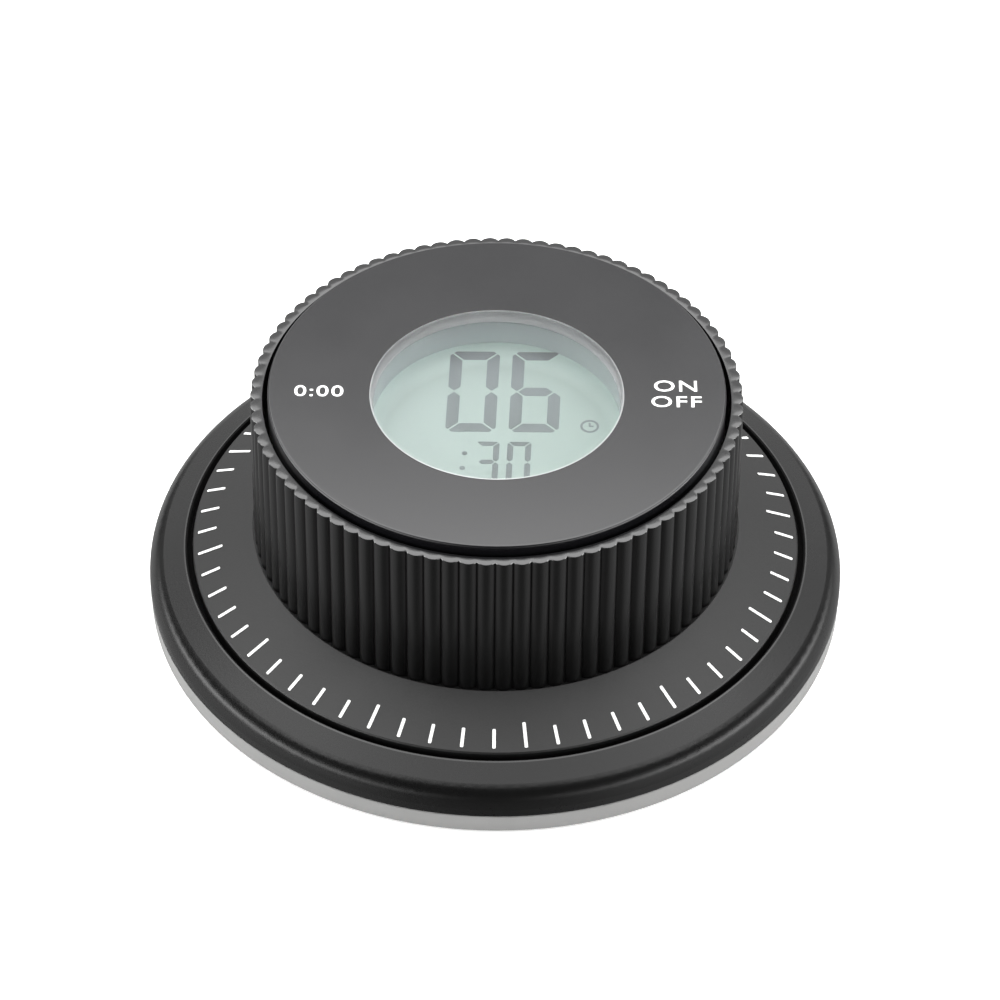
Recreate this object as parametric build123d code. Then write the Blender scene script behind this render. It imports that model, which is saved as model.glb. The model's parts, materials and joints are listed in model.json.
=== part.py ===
from build123d import *

import math
import os

# Kitchen timer: a fluted knob turns round a fixed centre, and the face plate in its middle rocks.
# Millimetres, +Z up. The origin is the middle of the underside, on the table.
# The front is -Y, and the start side of the face plate is +X.

# Battery cells, side by side along X
CELL_D = 10.5
CELL_L = 44.5
CELL_NUB_D = 3.8
CELL_NUB_H = 0.8
CELL_GAP = 0.2
CELL_CLEAR = 0.1
SPRING_L = 3.9
SPRING_T = 0.4
SPRING_W = 5.0
SPRING_SPAN = 8.0
CONTACT_T = 0.4
CONTACT_W = 7.7
TAB_W = 2.0
TAB_H = 2.0
SLOT_CLEAR = 0.2
LEAD_D = 1.0
LEAD_REACH = 2.6
LEAD_BEND = 1.2

# Heights from the table up to the dial
FOOT_H = 2.8
FOOT_W = 4.4
FOOT_INSET = 0.1
FOOT_EDGE = 0.3
COVER_LIFT = 0.6
COVER_GAP = 0.2
COVER_SEAT = 1.2
FLOOR_LIFT = 1.2
FLOOR_T = 1.2
GLIDE_T = 0.85
GLIDE_W = 1.6
GLIDE_INSET = 0.65
SLIDE_CLEAR = 0.05
DIAL_EDGE_H = 1.7
DIAL_RISE = 2.95
DIAL_T = 1.6
DIAL_BREAK = 0.15
RING_DROP = 0.2

# Heights of the stack inside the knob
ROOF_T = 1.2
RUN_GAP = 0.4
GEAR_FACE = 2.7
CHASSIS_T = 1.2
BOARD_T = 1.6
CUSHION_T = 2.0
REFLECTOR_T = 0.2
GLASS_T = 1.1
POLARISER_T = 0.2
FRAME_LIP = 1.2
WELL_H = 2.6
ROCK_GAP = 0.8
PLATE_T = 2.0
RIM_DROP = 1.0

# Walls and gaps from the drum outwards
DRUM_WALL = 1.2
JOURNAL_CLEAR = 0.1
GEAR_LEDGE = 0.4
GRIP_WALL = 1.5
FLUTE_DEPTH = 0.5
FLUTES = 86
SPIGOT_T = 0.6
SPIGOT_H = 3.0
FIT_CLEAR = 0.05
HUB_WALL = 1.4
HUB_LIFT = 0.5
KNOB_GROOVE_W = 0.2
KNOB_GROOVE_H = 0.15
DIAL_W = 7.4
DIAL_GAP = 0.75
RING_W = 4.65
RING_WALL = 1.3
RING_ROUND = 2.8
RING_BREAK = 0.2

# Gear pair that reads the knob's turn
MODULE = 0.6
PRESSURE_ANGLE = math.radians(20)
PINION_TEETH = 16
TOOTH_ADDENDUM = 0.8
TOOTH_DEDENDUM = 1.1
TOOTH_SLACK = 0.06
GEAR_RIM = 0.85
ENCODER_W = 7.0
ENCODER_H = 1.5
ENCODER_POST_D = 1.8
PINION_CLEAR = 0.3

# Board and what is soldered to it
BOARD_MARGIN = 0.1
CHASSIS_GAP = 0.7
CHASSIS_OPENING_R = 17.5
CUTOUT_CLEAR = 0.2
BUZZER_D = 12.0
BUZZER_H = 4.0
BUZZER_AT = (-8.0, -6.0)
BLOB_D = 9.0
BLOB_H = 1.4
BLOB_AT = (7.0, 7.0)
CRYSTAL_D = 2.0
CRYSTAL_L = 6.0
CRYSTAL_AT = (6.0, -8.0)

# Display
LCD_W = 35.0
LCD_D = 32.5
LCD_LEDGE = 2.2
LCD_INSET = 0.5
LCD_CLEAR = 0.1
ZEBRA_T = 1.8
ZEBRA_INSET = 1.0
CUSHION_INSET = 2.0
FRAME_WALL = 1.0
FRAME_CORNER_R = 4.0
WELL_R = 15.0
WELL_WALL = 1.2
WELL_RIM_W = 2.4
WELL_RIM_T = 0.8
WELL_EDGE = 0.5

# Face plate, its window and its pivot
PLATE_GAP = 0.6
PLATE_EDGE = 0.3
SKIRT_T = 1.3
SKIRT_H = 1.4
WINDOW_R = 15.25
WINDOW_Y = -0.7
LENS_CLEAR = 0.05
LENS_TOP = 0.45
LENS_FLANGE = 1.3
PIVOT_DROP = 2.8
PIN_D = 1.6
PIN_RUN = 0.05
PIN_END = 0.3
PIVOT_W = 4.8
LUG_T = 2.4
LUG_WALL = 0.9
LUG_GAP = 0.3
POST_T = 2.6
POST_INSET = 0.9
NOTCH_CLEAR = 0.5
KEY_FLANGE_D = 5.4
KEY_FLANGE_H = 0.6
KEY_FOOT_D = 4.6
KEY_TOP_D = 3.2
KEY_H = 3.05
KEY_WALL = 0.5
KEY_CLEAR = 0.05
KEY_SPACE = 1.1

# Screws
SCREW_D = 2.0
SCREW_HEAD_D = 3.6
SCREW_HEAD_H = 1.2
SCREW_CLEAR = 0.15
PILOT_CLEAR = 0.05
BOSS_WALL = 1.2
DRIVE_W = 0.5
DRIVE_L = 2.2
DRIVE_DEPTH = 0.6
BOSS_GAP = 0.7
COVER_SCREW_BITE = 3.0
COVER_SCREW_ANGLES = (45, 135, 225, 315)
EAR_T = 1.5
EAR_X = 9.0
EAR_OUT = 2.65
CHASSIS_SCREW_BITE = 2.6

# Battery door
DOOR_T = 1.4
DOOR_GAP = 0.3
DOOR_MARGIN = 1.0
BARREL_D = 2.0
DOOR_PIN_D = 1.4
DOOR_PIN_L = 1.8
DOOR_PIN_CLEAR = 0.05
DOOR_RIBS = 3
DOOR_RIB_W = 0.8
DOOR_RIB_L = 9.0
DOOR_RIB_DEPTH = 0.4
DOOR_RIB_PITCH = 2.0
FINGER_R = 5.0
FINGER_DEPTH = 1.0

# Radii that follow from these sizes
cell_y = (CELL_D + CELL_GAP) / 2
contact_x = (CELL_L + SPRING_L) / 2
contact_back = contact_x + CONTACT_T
contact_side = cell_y + CONTACT_W / 2
cell_side = cell_y + CELL_D / 2
cell_corner = math.hypot(contact_x - CELL_NUB_H, cell_side)
drum_bore = max(math.hypot(contact_back, contact_side), cell_corner) + FIT_CLEAR
drum_r = drum_bore + DRUM_WALL
journal_r = drum_r + JOURNAL_CLEAR
spigot_r = journal_r + SPIGOT_T
rim_bore = journal_r + GEAR_LEDGE
crest_r = rim_bore + GRIP_WALL
foot_r = crest_r + KNOB_GROOVE_W
dial_r = foot_r + DIAL_W
ring_bore = dial_r + DIAL_GAP
base_r = ring_bore + RING_W
foot_out = base_r - FOOT_INSET
foot_in = foot_out - FOOT_W
cover_r = foot_in - COVER_GAP
seat_r = cover_r - COVER_SEAT
plate_r = rim_bore - PLATE_GAP
skirt_bore = plate_r - SKIRT_T
chassis_r = rim_bore - CHASSIS_GAP

# Heights that follow from these sizes
hinge_z = COVER_LIFT + BARREL_D / 2
floor_z = FOOT_H + FLOOR_LIFT
floor_top = floor_z + FLOOR_T
dial_foot_z = floor_top + GLIDE_T + SLIDE_CLEAR
dial_edge_z = dial_foot_z + DIAL_EDGE_H
dial_top_z = dial_edge_z + DIAL_RISE
grip_z = dial_top_z - KNOB_GROOVE_H
dial_slope = DIAL_RISE / DIAL_W
ring_top = dial_edge_z - RING_DROP
cell_z = COVER_LIFT + BARREL_D + CELL_CLEAR + CELL_D / 2
roof_z = cell_z + CELL_D / 2 + CELL_CLEAR
roof_top = roof_z + ROOF_T
gear_z = roof_top + RUN_GAP
gear_top = gear_z + GEAR_FACE
chassis_z = gear_top + RUN_GAP
board_z = chassis_z + CHASSIS_T
board_top = board_z + BOARD_T
reflector_z = board_top + CUSHION_T
rear_glass_z = reflector_z + REFLECTOR_T
front_glass_z = rear_glass_z + GLASS_T
polariser_z = front_glass_z + GLASS_T
lcd_top = polariser_z + POLARISER_T
well_z = lcd_top + FRAME_LIP
frame_top = well_z + WELL_H
plate_z = frame_top + ROCK_GAP
plate_top = plate_z + PLATE_T
grip_top = plate_top - RIM_DROP
pivot_z = plate_z - PIVOT_DROP
key_top = board_top + KEY_H

# Places in plan that follow from these sizes
frame_x = LCD_W / 2 + LCD_CLEAR + FRAME_WALL
frame_y = LCD_D / 2 + LCD_CLEAR + FRAME_WALL
key_x = frame_x + KEY_SPACE + KEY_FLANGE_D / 2
board_r = key_x + KEY_FLANGE_D / 2 + BOARD_MARGIN
post_out = skirt_bore - POST_INSET
post_in = post_out - POST_T
lug_out = post_in - LUG_GAP
lug_in = lug_out - LUG_T
ear_y = frame_y + EAR_OUT
boss_r = SCREW_D / 2 + BOSS_WALL
pilot_r = SCREW_D / 2 + PILOT_CLEAR
passage_r = SCREW_D / 2 + SCREW_CLEAR
hub_r = journal_r + HUB_WALL
cover_screw_r = hub_r + BOSS_GAP + boss_r
door_end = contact_back + DOOR_MARGIN - DOOR_GAP
door_y = cell_side + DOOR_MARGIN
hinge_x = door_end - BARREL_D / 2
lead_x = contact_x - LEAD_REACH

# Gear pair: the tooth count is the largest that leaves the rim its wall
gear_r = rim_bore - FIT_CLEAR
ring_teeth = math.floor(2 * (gear_r - GEAR_RIM - TOOTH_DEDENDUM * MODULE) / MODULE)
ring_pitch_r = ring_teeth * MODULE / 2
pinion_pitch_r = PINION_TEETH * MODULE / 2
pinion_x = ring_pitch_r - pinion_pitch_r

UPWARDS = (Align.CENTER, Align.CENTER, Align.MIN)


def block(x, y, z):
    """A box between the limits of each pair."""
    middle = Pos((x[0] + x[1]) / 2, (y[0] + y[1]) / 2, (z[0] + z[1]) / 2)
    return middle * Box(x[1] - x[0], y[1] - y[0], z[1] - z[0])


def post(radius, z, at=(0, 0)):
    """An upright cylinder between two heights."""
    return Pos(at[0], at[1], z[0]) * Cylinder(radius, z[1] - z[0], align=UPWARDS)


def tube(outer, inner, z):
    """An upright round wall between two heights."""
    return post(outer, z) - post(inner, z)


def rod_y(radius, y, at):
    """A cylinder along Y between two places, at an X and a Z."""
    return Pos(at[0], (y[0] + y[1]) / 2, at[1]) * Rot(X=90) * Cylinder(radius, y[1] - y[0])


def turned(*outline):
    """A solid turned about Z from points of radius and height."""
    corners = [(radius, 0, height) for radius, height in outline]
    return revolve(make_face(Polyline(*corners, close=True)), Axis.Z)


def ring_edges(shape, radius, height):
    """The round edges of a turned shape at one radius and height."""
    circles = shape.edges().filter_by(GeomType.CIRCLE)
    return [
        edge
        for edge in circles
        if abs(edge.radius - radius) < 0.01 and abs(edge.center().Z - height) < 0.01
    ]


def both_sides(shape, plane):
    """A shape and its mirror image."""
    return shape + mirror(shape, about=plane)


def polar(radius, degrees):
    """A place in plan."""
    angle = math.radians(degrees)
    return (radius * math.cos(angle), radius * math.sin(angle))


def gear_face(teeth, tip_r, root_r, widen):
    """The outline of a gear with involute flanks, each tooth widened at the pitch circle."""
    pitch_r = teeth * MODULE / 2
    involute_r = pitch_r * math.cos(PRESSURE_ANGLE)
    thickness = math.pi * MODULE / 2 + widen

    def half_angle(radius):
        slope = math.acos(involute_r / max(radius, involute_r))
        involute = math.tan(slope) - slope
        at_pitch = math.tan(PRESSURE_ANGLE) - PRESSURE_ANGLE
        return thickness / (2 * pitch_r) + at_pitch - involute

    def place(radius, angle):
        return (radius * math.cos(angle), radius * math.sin(angle))

    flank_r = max(root_r, involute_r)
    middle_r = (flank_r + tip_r) / 2
    step = 2 * math.pi / teeth
    edges = []
    for tooth in range(teeth):
        centre = tooth * step
        rise = [place(r, centre - half_angle(r)) for r in (flank_r, middle_r, tip_r)]
        fall = [place(r, centre + half_angle(r)) for r in (tip_r, middle_r, flank_r)]
        foot = place(root_r, centre - half_angle(root_r))
        end = place(root_r, centre + half_angle(root_r))
        following = place(root_r, centre + step - half_angle(root_r))
        if root_r < flank_r:
            edges.append(Line(foot, rise[0]))
        edges.append(ThreePointArc(*rise))
        edges.append(ThreePointArc(rise[2], place(tip_r, centre), fall[0]))
        edges.append(ThreePointArc(*fall))
        if root_r < flank_r:
            edges.append(Line(fall[2], end))
        edges.append(ThreePointArc(end, place(root_r, centre + step / 2), following))
    return make_face(edges)


def screw(bite, z, at):
    """A pan-head screw with its head's underside at a height, pointing down."""
    head = post(SCREW_HEAD_D / 2, (z, z + SCREW_HEAD_H), at)
    shank = post(SCREW_D / 2, (z - bite, z), at)
    top = z + SCREW_HEAD_H
    long = block((-DRIVE_L / 2, DRIVE_L / 2), (-DRIVE_W / 2, DRIVE_W / 2), (top - DRIVE_DEPTH, top))
    cross = long + Rot(Z=90) * long
    return head + shank - Pos(at[0], at[1], 0) * cross


def foot_ring():
    """Soft band that the timer stands on."""
    band = tube(foot_out, foot_in, (0, FOOT_H))
    return chamfer(ring_edges(band, foot_out, 0) + ring_edges(band, foot_out, FOOT_H), FOOT_EDGE)


def base_housing():
    """Outer ring, floor and drum in one moulding, open at the bottom."""
    ring_inner_wall = ring_bore + RING_WALL
    ring_outer_wall = base_r - RING_WALL
    ring_roof = ring_top - RING_WALL * (1 + dial_slope)
    shoulder_z = ring_top - RING_W * dial_slope
    shell = turned(
        (base_r, FOOT_H),
        (base_r, shoulder_z),
        (ring_bore, ring_top),
        (ring_bore, floor_top),
        (drum_r, floor_top),
        (drum_r, roof_top),
        (0, roof_top),
        (0, roof_z),
        (drum_bore, roof_z),
        (drum_bore, floor_z),
        (seat_r, floor_z),
        (seat_r, FOOT_H),
        (ring_inner_wall, FOOT_H),
        (ring_inner_wall, ring_roof),
        (ring_outer_wall, FOOT_H),
    )
    shell = fillet(ring_edges(shell, base_r, shoulder_z), RING_ROUND)
    shell = chamfer(ring_edges(shell, ring_bore, ring_top), RING_BREAK)

    inside = (floor_z, roof_z)
    core = post(drum_bore + DRUM_WALL / 2, inside)
    end_wall = core & block((contact_back, drum_r), (-drum_r, drum_r), inside)
    cradle_y = cell_side + CELL_CLEAR
    cradle = core & block((-drum_r, drum_r), (cradle_y, cradle_y + DRUM_WALL), inside)
    shell += both_sides(end_wall, Plane.YZ) + both_sides(cradle, Plane.XZ)

    boss_top = FOOT_H + COVER_SCREW_BITE + BOSS_WALL / 2
    for angle in COVER_SCREW_ANGLES:
        at = polar(cover_screw_r, angle)
        shell += post(boss_r, (FOOT_H, boss_top), at)
        shell -= post(pilot_r, (FOOT_H, FOOT_H + COVER_SCREW_BITE), at)
    for at in chassis_screw_places():
        shell += post(boss_r, (roof_top, chassis_z), at)
        shell -= post(pilot_r, (chassis_z - CHASSIS_SCREW_BITE, chassis_z), at)
    for y in (-cell_y, cell_y):
        slot_x = (-contact_back - SLOT_CLEAR, -contact_x + SLOT_CLEAR)
        slot_y = (y - TAB_W / 2 - SLOT_CLEAR, y + TAB_W / 2 + SLOT_CLEAR)
        shell -= block(slot_x, slot_y, (roof_z, roof_top))
    return shell


def chassis_screw_places():
    """The four places in plan where a screw holds frame, board and chassis to the drum."""
    return [(x, y) for x in (-EAR_X, EAR_X) for y in (-ear_y, ear_y)]


def bottom_cover():
    """Underside with the opening for the cells, held by four screws."""
    cover = post(cover_r, (COVER_LIFT, FOOT_H))
    opening_x = door_end + DOOR_GAP
    opening_y = door_y + DOOR_GAP
    cover -= block((-opening_x, opening_x), (-opening_y, opening_y), (COVER_LIFT, FOOT_H))
    socket_y = door_y + DOOR_PIN_L + DOOR_GAP
    cover -= rod_y(DOOR_PIN_D / 2 + DOOR_PIN_CLEAR, (-socket_y, socket_y), (hinge_x, hinge_z))
    cover -= post(FINGER_R, (COVER_LIFT, COVER_LIFT + FINGER_DEPTH), (-opening_x, 0))
    head_z = cover_head_z()
    for angle in COVER_SCREW_ANGLES:
        at = polar(cover_screw_r, angle)
        cover -= post(passage_r, (COVER_LIFT, FOOT_H), at)
        cover -= post(SCREW_HEAD_D / 2 + SCREW_CLEAR, (COVER_LIFT, head_z), at)
    return cover


def cover_head_z():
    """Height of the shoulder that the cover's screw heads bear on."""
    return COVER_LIFT + SCREW_HEAD_H


def bottom_screws():
    """Four screws that point up into the housing."""
    bite = FOOT_H - cover_head_z() + COVER_SCREW_BITE - PILOT_CLEAR
    pointing_down = screw(bite, 0, (0, 0))
    pointing_up = Pos(0, 0, cover_head_z()) * Rot(X=180) * pointing_down
    places = [polar(cover_screw_r, angle) for angle in COVER_SCREW_ANGLES]
    return Compound([Pos(x, y, 0) * pointing_up for x, y in places])


def battery_door():
    """Door with a hinge barrel at one end and a ribbed thumb end."""
    door_z = (COVER_LIFT, COVER_LIFT + DOOR_T)
    door = block((-door_end, hinge_x), (-door_y, door_y), door_z)
    door += rod_y(BARREL_D / 2, (-door_y, door_y), (hinge_x, hinge_z))
    pin_y = door_y + DOOR_PIN_L
    door += rod_y(DOOR_PIN_D / 2, (-pin_y, pin_y), (hinge_x, hinge_z))
    for rib in range(1, DOOR_RIBS + 1):
        x = rib * DOOR_RIB_PITCH - door_end
        groove_x = (x - DOOR_RIB_W / 2, x + DOOR_RIB_W / 2)
        groove_z = (COVER_LIFT, COVER_LIFT + DOOR_RIB_DEPTH)
        door -= block(groove_x, (-DOOR_RIB_L / 2, DOOR_RIB_L / 2), groove_z)
    return door


def battery_cell(y, towards):
    """One cell along X, its positive end against the contact plate on one side."""
    body_l = CELL_L - CELL_NUB_H
    along = Rot(Y=90)
    body = along * Cylinder(CELL_D / 2, body_l, align=UPWARDS)
    nub = Pos(body_l, 0, 0) * along * Cylinder(CELL_NUB_D / 2, CELL_NUB_H, align=UPWARDS)
    cell = Pos(contact_x - CELL_L, 0, 0) * (body + nub)
    if towards < 0:
        cell = Rot(Z=180) * cell
    return Pos(0, y, cell_z) * cell


def battery_springs():
    """A bowed strip behind the flat end of each cell."""
    half = SPRING_SPAN / 2
    outer = ThreePointArc((0, 0, -half), (SPRING_L, 0, 0), (0, 0, half))
    inner_half = half - SPRING_T
    inner = ThreePointArc((0, 0, inner_half), (SPRING_L - SPRING_T, 0, 0), (0, 0, -inner_half))
    ends = [Line(outer @ 1, inner @ 0), Line(inner @ 1, outer @ 0)]
    section = make_face([outer, inner] + ends)
    bow = extrude(section, amount=SPRING_W / 2, both=True)
    near = Pos(-contact_x, -cell_y, cell_z) * bow
    return Compound([near, Rot(Z=180) * near])


def contact_plate(y):
    """A flat contact standing against the end wall at +X, between two places in Y."""
    height = (cell_z - CONTACT_W / 2, cell_z + CONTACT_W / 2)
    return block((contact_x, contact_back), y, height)


def battery_link():
    """Plate that joins the two cells in series."""
    return contact_plate((-contact_side, contact_side))


def battery_terminals():
    """Two plates with a tab each that stands up through the roof of the drum."""
    side = contact_side - CONTACT_W
    plate = contact_plate((side, contact_side))
    tab_y = (cell_y - TAB_W / 2, cell_y + TAB_W / 2)
    plate += block((contact_x, contact_back), tab_y, (cell_z, roof_top + TAB_H))
    left = mirror(plate, about=Plane.YZ)
    return Compound([left, mirror(left, about=Plane.XZ)])


def battery_leads():
    """Two insulated wires from the tabs to the board."""
    lead_z = roof_top + TAB_H - LEAD_D / 2
    route = FilletPolyline(
        (-contact_x, cell_y, lead_z),
        (-lead_x, cell_y, lead_z),
        (-lead_x, cell_y, board_z),
        radius=LEAD_BEND,
    )
    section = Plane(origin=route @ 0, z_dir=route % 0) * Circle(LEAD_D / 2)
    lead = sweep(section, path=route)
    return Compound([lead, mirror(lead, about=Plane.XZ)])


def glide_ring():
    """Slip washer on the floor, under the rim of the dial."""
    outer = dial_r - GLIDE_INSET
    return tube(outer, outer - GLIDE_W, (floor_top, floor_top + GLIDE_T))


def dial_ring():
    """Sloping dial with a rim on the washer, a hub on the drum and a spigot for the knob wall."""
    slope = DIAL_RISE / DIAL_W
    hub_roof = dial_edge_z + slope * (dial_r - hub_r) - DIAL_T
    rim_in = dial_r - GLIDE_W
    rim_roof = dial_edge_z + slope * GLIDE_W - DIAL_T
    ring = turned(
        (journal_r, floor_top + HUB_LIFT),
        (hub_r, floor_top + HUB_LIFT),
        (hub_r, hub_roof),
        (rim_in, rim_roof),
        (rim_in, dial_foot_z),
        (dial_r, dial_foot_z),
        (dial_r, dial_edge_z),
        (foot_r, dial_top_z),
        (foot_r, grip_z),
        (spigot_r, grip_z),
        (spigot_r, grip_z + SPIGOT_H),
        (journal_r, grip_z + SPIGOT_H),
    )
    return chamfer(ring_edges(ring, dial_r, dial_edge_z), DIAL_BREAK)


def grip_ring():
    """Fluted knob wall: rounded ribs that meet in narrow valleys."""
    valley_r = crest_r - FLUTE_DEPTH
    step = 360 / FLUTES
    ribs = []
    for rib in range(FLUTES):
        start = polar(valley_r, (rib - 0.5) * step)
        end = polar(valley_r, (rib + 0.5) * step)
        ribs.append(ThreePointArc(start, polar(crest_r, rib * step), end))
    wall = Pos(0, 0, grip_z) * extrude(make_face(ribs), amount=grip_top - grip_z)
    wall -= post(journal_r, (grip_z, gear_z))
    wall -= post(rim_bore, (gear_z, grip_top))
    wall -= post(spigot_r + FIT_CLEAR, (grip_z, grip_z + SPIGOT_H + FIT_CLEAR))
    return wall


def ring_gear():
    """Internal gear on a ledge inside the knob wall."""
    tip_r = ring_pitch_r - TOOTH_ADDENDUM * MODULE
    root_r = ring_pitch_r + TOOTH_DEDENDUM * MODULE
    spaces = gear_face(ring_teeth, root_r, tip_r, TOOTH_SLACK)
    return Pos(0, 0, gear_z) * extrude(Circle(gear_r) - spaces, amount=GEAR_FACE)


def encoder_pinion():
    """Small gear that the knob drives, on the encoder's post."""
    tip_r = pinion_pitch_r + TOOTH_ADDENDUM * MODULE
    root_r = pinion_pitch_r - TOOTH_DEDENDUM * MODULE
    teeth = gear_face(PINION_TEETH, tip_r, root_r, -TOOTH_SLACK)
    bore = Circle(ENCODER_POST_D / 2 + PIN_RUN)
    height = board_z - ENCODER_H - PINION_CLEAR - gear_z
    return Pos(pinion_x, 0, gear_z) * extrude(teeth - bore, amount=height)


def encoder_body():
    """Flat sensor under the board, with the post that the pinion turns on."""
    half = ENCODER_W / 2
    case_z = board_z - ENCODER_H
    case = block((pinion_x - half, pinion_x + half), (-half, half), (case_z, board_z))
    return case + post(ENCODER_POST_D / 2, (gear_z, case_z), (pinion_x, 0))


def chassis():
    """Flanged ring that carries the board and holds the knob down, with two pivot posts."""
    ring = tube(chassis_r, CHASSIS_OPENING_R, (chassis_z, board_z))
    half = PIVOT_W / 2
    pivot = block((-half, half), (post_in, post_out), (chassis_z, pivot_z))
    pivot += rod_y(half, (post_in, post_out), (0, pivot_z))
    pivot -= rod_y(PIN_D / 2, (post_in, post_out), (0, pivot_z))
    ring += both_sides(pivot, Plane.XZ)
    room = ENCODER_W / 2 + CUTOUT_CLEAR
    ring -= block((pinion_x - room, pinion_x + room), (-room, room), (chassis_z, board_z))
    for at in chassis_screw_places():
        ring -= post(passage_r, (chassis_z, board_z), at)
    for y in (-cell_y, cell_y):
        ring -= post(LEAD_D / 2 + CUTOUT_CLEAR, (chassis_z, board_z), (-lead_x, y))
    return ring


def main_pcb():
    """Round board, notched for the pivot posts."""
    board = post(board_r, (board_z, board_top))
    half = PIVOT_W / 2 + NOTCH_CLEAR
    notch = block((-half, half), (post_in - NOTCH_CLEAR, chassis_r), (board_z, board_top))
    board -= both_sides(notch, Plane.XZ)
    for at in chassis_screw_places():
        board -= post(passage_r, (board_z, board_top), at)
    return board


def buzzer():
    """Round sounder under the board."""
    return post(BUZZER_D / 2, (board_z - BUZZER_H, board_z), BUZZER_AT)


def controller_blob():
    """Chip under a drop of resin."""
    drop = post(BLOB_D / 2, (board_z - BLOB_H, board_z), BLOB_AT)
    lower = drop.edges().group_by(Axis.Z)[0]
    return fillet(lower, BLOB_H / 2)


def clock_crystal():
    """Small can beside the chip."""
    x, y = CRYSTAL_AT
    axis_z = board_z - CRYSTAL_D / 2 - FIT_CLEAR
    return rod_y(CRYSTAL_D / 2, (y - CRYSTAL_L / 2, y + CRYSTAL_L / 2), (x, axis_z))


def lcd_frame():
    """Pale frame that presses the display onto the board, with a round well above it."""
    outline = RectangleRounded(2 * frame_x, 2 * frame_y, FRAME_CORNER_R)
    frame = Pos(0, 0, board_top) * extrude(outline, amount=well_z - board_top)
    room_x = LCD_W / 2 + LCD_CLEAR
    room_y = LCD_D / 2 + LCD_CLEAR
    frame += post(WELL_R + WELL_WALL, (well_z, frame_top))
    frame += post(WELL_R + WELL_RIM_W, (frame_top - WELL_RIM_T, frame_top))
    for x, y in chassis_screw_places():
        ear = (board_top, board_top + EAR_T)
        frame += post(boss_r, ear, (x, y))
        inner = math.copysign(room_y, y)
        frame += block((x - boss_r, x + boss_r), sorted((inner, y)), ear)
    frame -= block((-room_x, room_x), (-room_y, room_y), (board_top, lcd_top))
    frame -= post(WELL_R, (lcd_top, frame_top))
    frame = fillet(ring_edges(frame, WELL_R, frame_top), WELL_EDGE)
    for at in chassis_screw_places():
        frame -= post(passage_r, (board_top, board_top + EAR_T), at)
    return frame


def chassis_screws():
    """Four long screws through frame, board and chassis into the drum."""
    head_z = board_top + EAR_T
    bite = head_z - chassis_z + CHASSIS_SCREW_BITE - PILOT_CLEAR
    return Compound([screw(bite, head_z, at) for at in chassis_screw_places()])


def sheet(width, depth, z):
    """A flat layer of the display, centred on the axis."""
    return block((-width / 2, width / 2), (-depth / 2, depth / 2), z)


def lcd_cushion():
    """Foam pad between board and display."""
    width = LCD_W - 2 * CUSHION_INSET
    depth = LCD_D - 2 * LCD_LEDGE - 2 * CUSHION_INSET
    return sheet(width, depth, (board_top, reflector_z))


def lcd_reflector():
    """Pale foil behind the rear glass."""
    width = LCD_W - 2 * LCD_INSET
    depth = LCD_D - 2 * LCD_LEDGE - 2 * LCD_INSET
    return sheet(width, depth, (reflector_z, rear_glass_z))


def lcd_rear_glass():
    """Narrower pane, which leaves the contact ledges of the front pane free."""
    return sheet(LCD_W, LCD_D - 2 * LCD_LEDGE, (rear_glass_z, front_glass_z))


def lcd_front_glass():
    """Wider pane, with the contacts on its two ledges."""
    return sheet(LCD_W, LCD_D, (front_glass_z, polariser_z))


def lcd_front_polariser():
    """Film on the front pane: the display face that shows."""
    return sheet(LCD_W - 2 * LCD_INSET, LCD_D - 2 * LCD_INSET, (polariser_z, lcd_top))


def zebra_strips():
    """Rubber connectors between the board and the two ledges."""
    middle = LCD_D / 2 - LCD_LEDGE / 2
    half = LCD_W / 2 - ZEBRA_INSET
    strip_y = (middle - ZEBRA_T / 2, middle + ZEBRA_T / 2)
    strip = block((-half, half), strip_y, (board_top, front_glass_z))
    return Compound([strip, mirror(strip, about=Plane.XZ)])


def key_dome(side):
    """Hollow rubber key on the board, under one side of the face plate."""
    foot = KEY_FOOT_D / 2
    top = KEY_TOP_D / 2
    waist_z = board_top + KEY_FLANGE_H
    pocket_z = key_top - 2 * KEY_WALL
    dome = turned(
        (foot - KEY_WALL, board_top),
        (KEY_FLANGE_D / 2, board_top),
        (KEY_FLANGE_D / 2, waist_z),
        (foot, waist_z),
        (top, key_top - KEY_WALL),
        (top, key_top),
        (0, key_top),
        (0, pocket_z),
        (top - KEY_WALL, pocket_z),
    )
    return Pos(side * key_x, 0, 0) * dome


def face_plate():
    """Round plate with a window, a skirt, two pivot lugs and a pusher over each key."""
    plate = post(plate_r, (plate_z, plate_top))
    plate = fillet(ring_edges(plate, plate_r, plate_top), PLATE_EDGE)
    window_at = (0, WINDOW_Y)
    plate -= post(WINDOW_R, (plate_z, plate_top), window_at)
    rabbet_r = WINDOW_R + LENS_FLANGE
    plate -= post(rabbet_r, (plate_z, plate_top - LENS_TOP), window_at)
    plate += tube(plate_r, skirt_bore, (plate_z - SKIRT_H, plate_z))
    pusher = post(KEY_TOP_D / 2, (key_top + KEY_CLEAR, plate_z), (key_x, 0))
    half = PIVOT_W / 2
    lug_r = PIN_D / 2 + LUG_WALL
    lug = block((-half, half), (lug_in, lug_out), (pivot_z, plate_z))
    lug += rod_y(lug_r, (lug_in, lug_out), (0, pivot_z))
    lug -= rod_y(PIN_D / 2 + PIN_RUN, (lug_in, lug_out), (0, pivot_z))
    return plate + both_sides(pusher, Plane.YZ) + both_sides(lug, Plane.XZ)


def window_lens():
    """Clear stepped disc, set into the plate from below and flush with its top."""
    window_at = (0, WINDOW_Y)
    shoulder_z = plate_top - LENS_TOP
    disc = post(WINDOW_R - LENS_CLEAR, (shoulder_z, plate_top), window_at)
    return disc + post(WINDOW_R + LENS_FLANGE - LENS_CLEAR, (plate_z, shoulder_z), window_at)


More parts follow.
